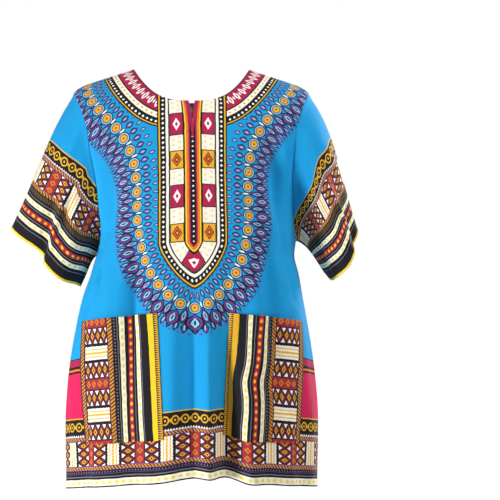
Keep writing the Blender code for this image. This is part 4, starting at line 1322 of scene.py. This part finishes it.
def sleeve_print(tree, ground):
    """The print of a sleeve: ground and the deep border of the cuff."""
    cloth, around, up = cloth_coordinates(tree)
    return cloth, border(tree, around, up, CUFF, ground)


def pocket_print(tree, strip_yellow_and_painted_shade):
    """The print of a pocket: upright stripes and a ladder of blocks."""
    cloth, across, up = cloth_coordinates(tree)
    # The yellow strips take this colour, which on the right pocket is darker: painted shade.
    strips = [(end, strip_yellow_and_painted_shade if code == YELLOW else code) for end, code in POCKET.strips]
    return cloth, border(tree, up, across, POCKET._replace(strips=strips), linear(PURPLE))


def cotton(name, make_print, *options):
    """A printed cotton: its face, and its paler reverse."""
    finishes = []
    for reverse in (False, True):
        material = bpy.data.materials.new(name + ("_reverse" if reverse else ""))
        material.use_nodes = True
        cloth, colour = make_print(material.node_tree, *options)
        finish_cotton(material.node_tree, cloth, colour, reverse)
        finishes.append(material)
    return finishes


VIEW_HEIGHT = -0.3335       # of the camera, under the neck
VIEW_ASIDE = 0.108          # how far right of the shirt's middle it looks
VIEW_WIDTH = 0.925          # what it takes in at the shirt
SENSOR = 36.0
FLOOR_RADIUS = 14.0
FLOOR_SIDES = 96
FLOOR_COLOUR = "#F4F4F4"
PAPER_ROUGHNESS = 0.9
PURE_WHITE = (1.0, 1.0, 1.0, 1.0)
AMBIENT = 0.08              # the studio's own light
Lamp = namedtuple("Lamp", "name place turn size power")
LAMPS = table(
    Lamp,
    ("key", (-2.8, -1.5, -0.7), (96, 0, -62), 0.7, 98),
    ("fill", (1.5, -1.2, 1.6), (44, 0, 51), 1.0, 54),
    ("rear", (2.3, 2.3, 0.6), (73, 0, 135), 0.9, 80),
    ("top", (0.0, 0.5, 2.6), (0, 0, 0), 3.0, 10))


# ---------------------------------------------------------------- settings
class ShirtSettings(bpy.types.PropertyGroup):
    """The cloth's thickness, creases and colour."""
    wall: FloatProperty(name="Cloth thickness", description="Thickness of the cotton",
                        default=0.9 * MM, min=0.3 * MM, max=1.6 * MM, unit="LENGTH")
    creases: FloatProperty(name="Creases", description="Strength of the fine creases",
                           default=1.0, min=0.0, max=2.0, subtype="FACTOR")
    ground: FloatVectorProperty(name="Ground colour", description="Between the borders",
                                default=linear(TURQUOISE)[:3], subtype="COLOR", size=3)


class StageSettings(bpy.types.PropertyGroup):
    """Camera distance and floor."""
    distance: FloatProperty(name="Camera distance", description="From the shirt's middle",
                            default=3.2, unit="LENGTH")
    floor: FloatProperty(name="Floor level", description="Height of the floor under the neck",
                         default=-1.42, unit="LENGTH")
    floor_glow: FloatProperty(name="Floor glow", description="How bright the floor looks",
                              default=1.0, min=0.0)
    floor_colour: FloatVectorProperty(name="Floor colour", description="Pale plain floor",
                                      default=linear(FLOOR_COLOUR)[:3], subtype="COLOR", size=3)


# ---------------------------------------------------------------- pieces
def lay_panel(context, node, face):
    """Front or back: two halves joined down the centre, below the slit in front."""
    settings = context.scene.shirt_settings
    grids = []
    for side in (LEFT, RIGHT):
        half = panel_half(face, side, settings.creases)
        collar, garland = yoke_coordinates(half, face)
        cloth = np.stack([side * half.across, half.up, 0 * half.up], axis=-1)
        grids.append((half.points, {"cloth": cloth, "collar": collar, "garland": garland}))
    piece = lay_sheet(node + "_cloth", grids, (LEFT != -face, RIGHT != -face), settings.wall)
    ground = (*settings.ground, 1.0)
    dress(piece, node, cotton("printed_cotton_" + node, panel_print, ground, face == FRONT))


def pocket_form(front, kink, wall):
    """A pocket's face: the panel's points under it moved out, and its coordinates."""
    rows = (front.rows >= POCKET_FOOT_ROW) & (front.rows <= POCKET_TOP_ROW)
    columns = (front.columns >= INNER_GUIDE) & (front.columns <= OUTER_GUIDE)
    patch = np.ix_(rows, columns)
    up = (front.rows[rows] - POCKET_FOOT_ROW)[:, None]
    across = ((front.columns[columns] - INNER_GUIDE) / (OUTER_GUIDE - INNER_GUIDE))[None, :]
    from_side = np.minimum(across, 1 - across)
    swell = ease(np.minimum(from_side * POCKET_SIDE_SWELL, up * POCKET_FOOT_SWELL))
    mouth = ease((up - POCKET_MOUTH_FROM) / (1 - POCKET_MOUTH_FROM))
    proud = POCKET_PROUD + wall + POCKET_BILLOW * swell + POCKET_MOUTH * mouth * swell
    points = front.points[patch] + front.normals[patch] * proud[..., None]
    bent = bell(up * POCKET_HEIGHT - KINK_LEVEL, KINK_HALF)
    cloth = np.stack([across * POCKET_WIDTH + kink * bent * ease(from_side * KINK_SIDES),
                      up * POCKET_HEIGHT + 0 * across, 0 * (across + up)], axis=-1)
    return points, {"cloth": cloth}


class SHIRT_OT_panels(bpy.types.Operator):
    """Lay the front and the back"""
    bl_idname = "shirt.panels"
    bl_label = "Front and back"

    def execute(self, context):
        lay_panel(context, "front_panel", FRONT)
        lay_panel(context, "back_panel", BACK)
        return {"FINISHED"}


class SHIRT_OT_sleeves(bpy.types.Operator):
    """Lay both sleeves"""
    bl_idname = "shirt.sleeves"
    bl_label = "Sleeves"

    def execute(self, context):
        settings = context.scene.shirt_settings
        finishes = cotton("printed_cotton_sleeves", sleeve_print, (*settings.ground, 1.0))
        for side, node in ((LEFT, "sleeve_left"), (RIGHT, "sleeve_right")):
            edge = armhole_edge(panel_half(FRONT, side, settings.creases),
                                panel_half(BACK, side, settings.creases))
            rings, around, up = sleeve_rings(side, edge, settings.creases)
            cloth = np.stack([around, up, 0 * up], axis=-1)
            piece = lay_sheet(node + "_cloth", [(rings, {"cloth": cloth})], (side == LEFT,),
                              settings.wall, turn=2 * SLEEVE_HALF_ROUND)
            dress(piece, node, finishes)
        return {"FINISHED"}


class SHIRT_OT_pockets(bpy.types.Operator):
    """Lay both patch pockets on the front"""
    bl_idname = "shirt.pockets"
    bl_label = "Pockets"

    def execute(self, context):
        settings = context.scene.shirt_settings
        # The right pocket's yellow strips are printed darker: painted shade of its fold.
        for side, node, yellow_and_painted_shade, kink in ((LEFT, "pocket_left", YELLOW, 0.0),
                                       (RIGHT, "pocket_right", PAINTED_SHADE_GOLD, POCKET_KINK)):
            form = pocket_form(panel_half(FRONT, side, settings.creases), kink, settings.wall)
            piece = lay_sheet(node + "_cloth", [form], (side == LEFT,), settings.wall)
            dress(piece, node, cotton("printed_cotton_" + node, pocket_print, yellow_and_painted_shade))
        return {"FINISHED"}


# ---------------------------------------------------------------- stage
def set_camera(context, stage):
    """A level camera in front of the shirt, with room on the right and plain colours."""
    bpy.ops.object.camera_add(
        location=(0.0, -stage.distance, VIEW_HEIGHT),
        rotation=(radians(90), 0.0, -atan(VIEW_ASIDE / stage.distance)))
    camera = context.object
    camera.data.sensor_width = SENSOR
    camera.data.lens = SENSOR * stage.distance / VIEW_WIDTH
    context.scene.camera = camera
    context.scene.view_settings.view_transform = "Standard"


def floor_paper(stage):
    """Matt studio paper, which looks evenly white: it glows for the camera alone."""
    paper = bpy.data.materials.new("pale_floor_paper")
    paper.use_nodes = True
    tree = paper.node_tree
    shader = tree.nodes["Principled BSDF"]
    shader.inputs["Base Color"].default_value = (*stage.floor_colour, 1.0)
    shader.inputs["Roughness"].default_value = PAPER_ROUGHNESS
    shader.inputs["Emission Color"].default_value = PURE_WHITE
    glow = add(tree, "Math", [add(tree, "LightPath"), stage.floor_glow], operation="MULTIPLY")
    tree.links.new(glow.outputs[0], shader.inputs["Emission Strength"])
    return paper


def lay_floor(context, stage):
    """The floor, far enough below that the shirt hangs clear of it."""
    bpy.ops.mesh.primitive_circle_add(vertices=FLOOR_SIDES, radius=FLOOR_RADIUS,
                                      fill_type="NGON", location=(0.0, 0.0, 0.0))
    floor = context.object
    floor.name = "floor"
    for vertex in floor.data.vertices:
        vertex.co.z += stage.floor
    floor.data.materials.append(floor_paper(stage))


def light_studio(context):
    """White surroundings, which light the shirt only faintly, and four soft lamps."""
    world = bpy.data.worlds.new("studio")
    world.use_nodes = True
    tree = world.node_tree
    ambient = tree.nodes["Background"]
    ambient.inputs[0].default_value = PURE_WHITE
    ambient.inputs[1].default_value = AMBIENT
    seen = add(tree, "Background", [PURE_WHITE, 1.0])
    both = add(tree, "MixShader", [add(tree, "LightPath"), ambient, seen])
    tree.links.new(both.outputs[0], tree.nodes["World Output"].inputs[0])
    context.scene.world = world
    for lamp in LAMPS:
        bpy.ops.object.light_add(type="AREA", location=lamp.place,
                                 rotation=[radians(angle) for angle in lamp.turn])
        light = context.object
        light.name = lamp.name + "_light"
        light.data.size = lamp.size
        light.data.energy = lamp.power


class SHIRT_OT_stage(bpy.types.Operator):
    """Set the camera, the pale floor and the soft light"""
    bl_idname = "shirt.stage"
    bl_label = "Stage"

    def execute(self, context):
        stage = context.scene.shirt_stage
        set_camera(context, stage)
        lay_floor(context, stage)
        light_studio(context)
        return {"FINISHED"}


# ---------------------------------------------------------------- sidebar and run
class SHIRT_PT_panel(bpy.types.Panel):
    """Lists the shirt's pieces in the sidebar"""
    bl_idname = "SHIRT_PT_panel"
    bl_label = "Shirt"
    bl_space_type = "VIEW_3D"
    bl_region_type = "UI"
    bl_category = "Shirt"

    def draw(self, context):
        for name in ("wall", "creases", "ground"):
            self.layout.prop(context.scene.shirt_settings, name)
        for name in ("distance", "floor", "floor_glow", "floor_colour"):
            self.layout.prop(context.scene.shirt_stage, name)
        for operator in OPERATORS:
            self.layout.operator(operator.bl_idname)


OPERATORS = (SHIRT_OT_stage, SHIRT_OT_panels, SHIRT_OT_sleeves, SHIRT_OT_pockets)
CLASSES = (ShirtSettings, StageSettings, *OPERATORS, SHIRT_PT_panel)


def register():
    """Register the classes and hang their settings on the scene."""
    for each in CLASSES:
        bpy.utils.register_class(each)
    bpy.types.Scene.shirt_settings = PointerProperty(type=ShirtSettings)
    bpy.types.Scene.shirt_stage = PointerProperty(type=StageSettings)


def unregister():
    """Take the settings and the classes away again."""
    del bpy.types.Scene.shirt_stage
    del bpy.types.Scene.shirt_settings
    for each in reversed(CLASSES):
        bpy.utils.unregister_class(each)


def main():
    """Dress the shirt."""
    register()
    bpy.ops.shirt.stage()
    bpy.ops.shirt.panels()
    bpy.ops.shirt.sleeves()
    bpy.ops.shirt.pockets()


if __name__ == "__main__":
    main()
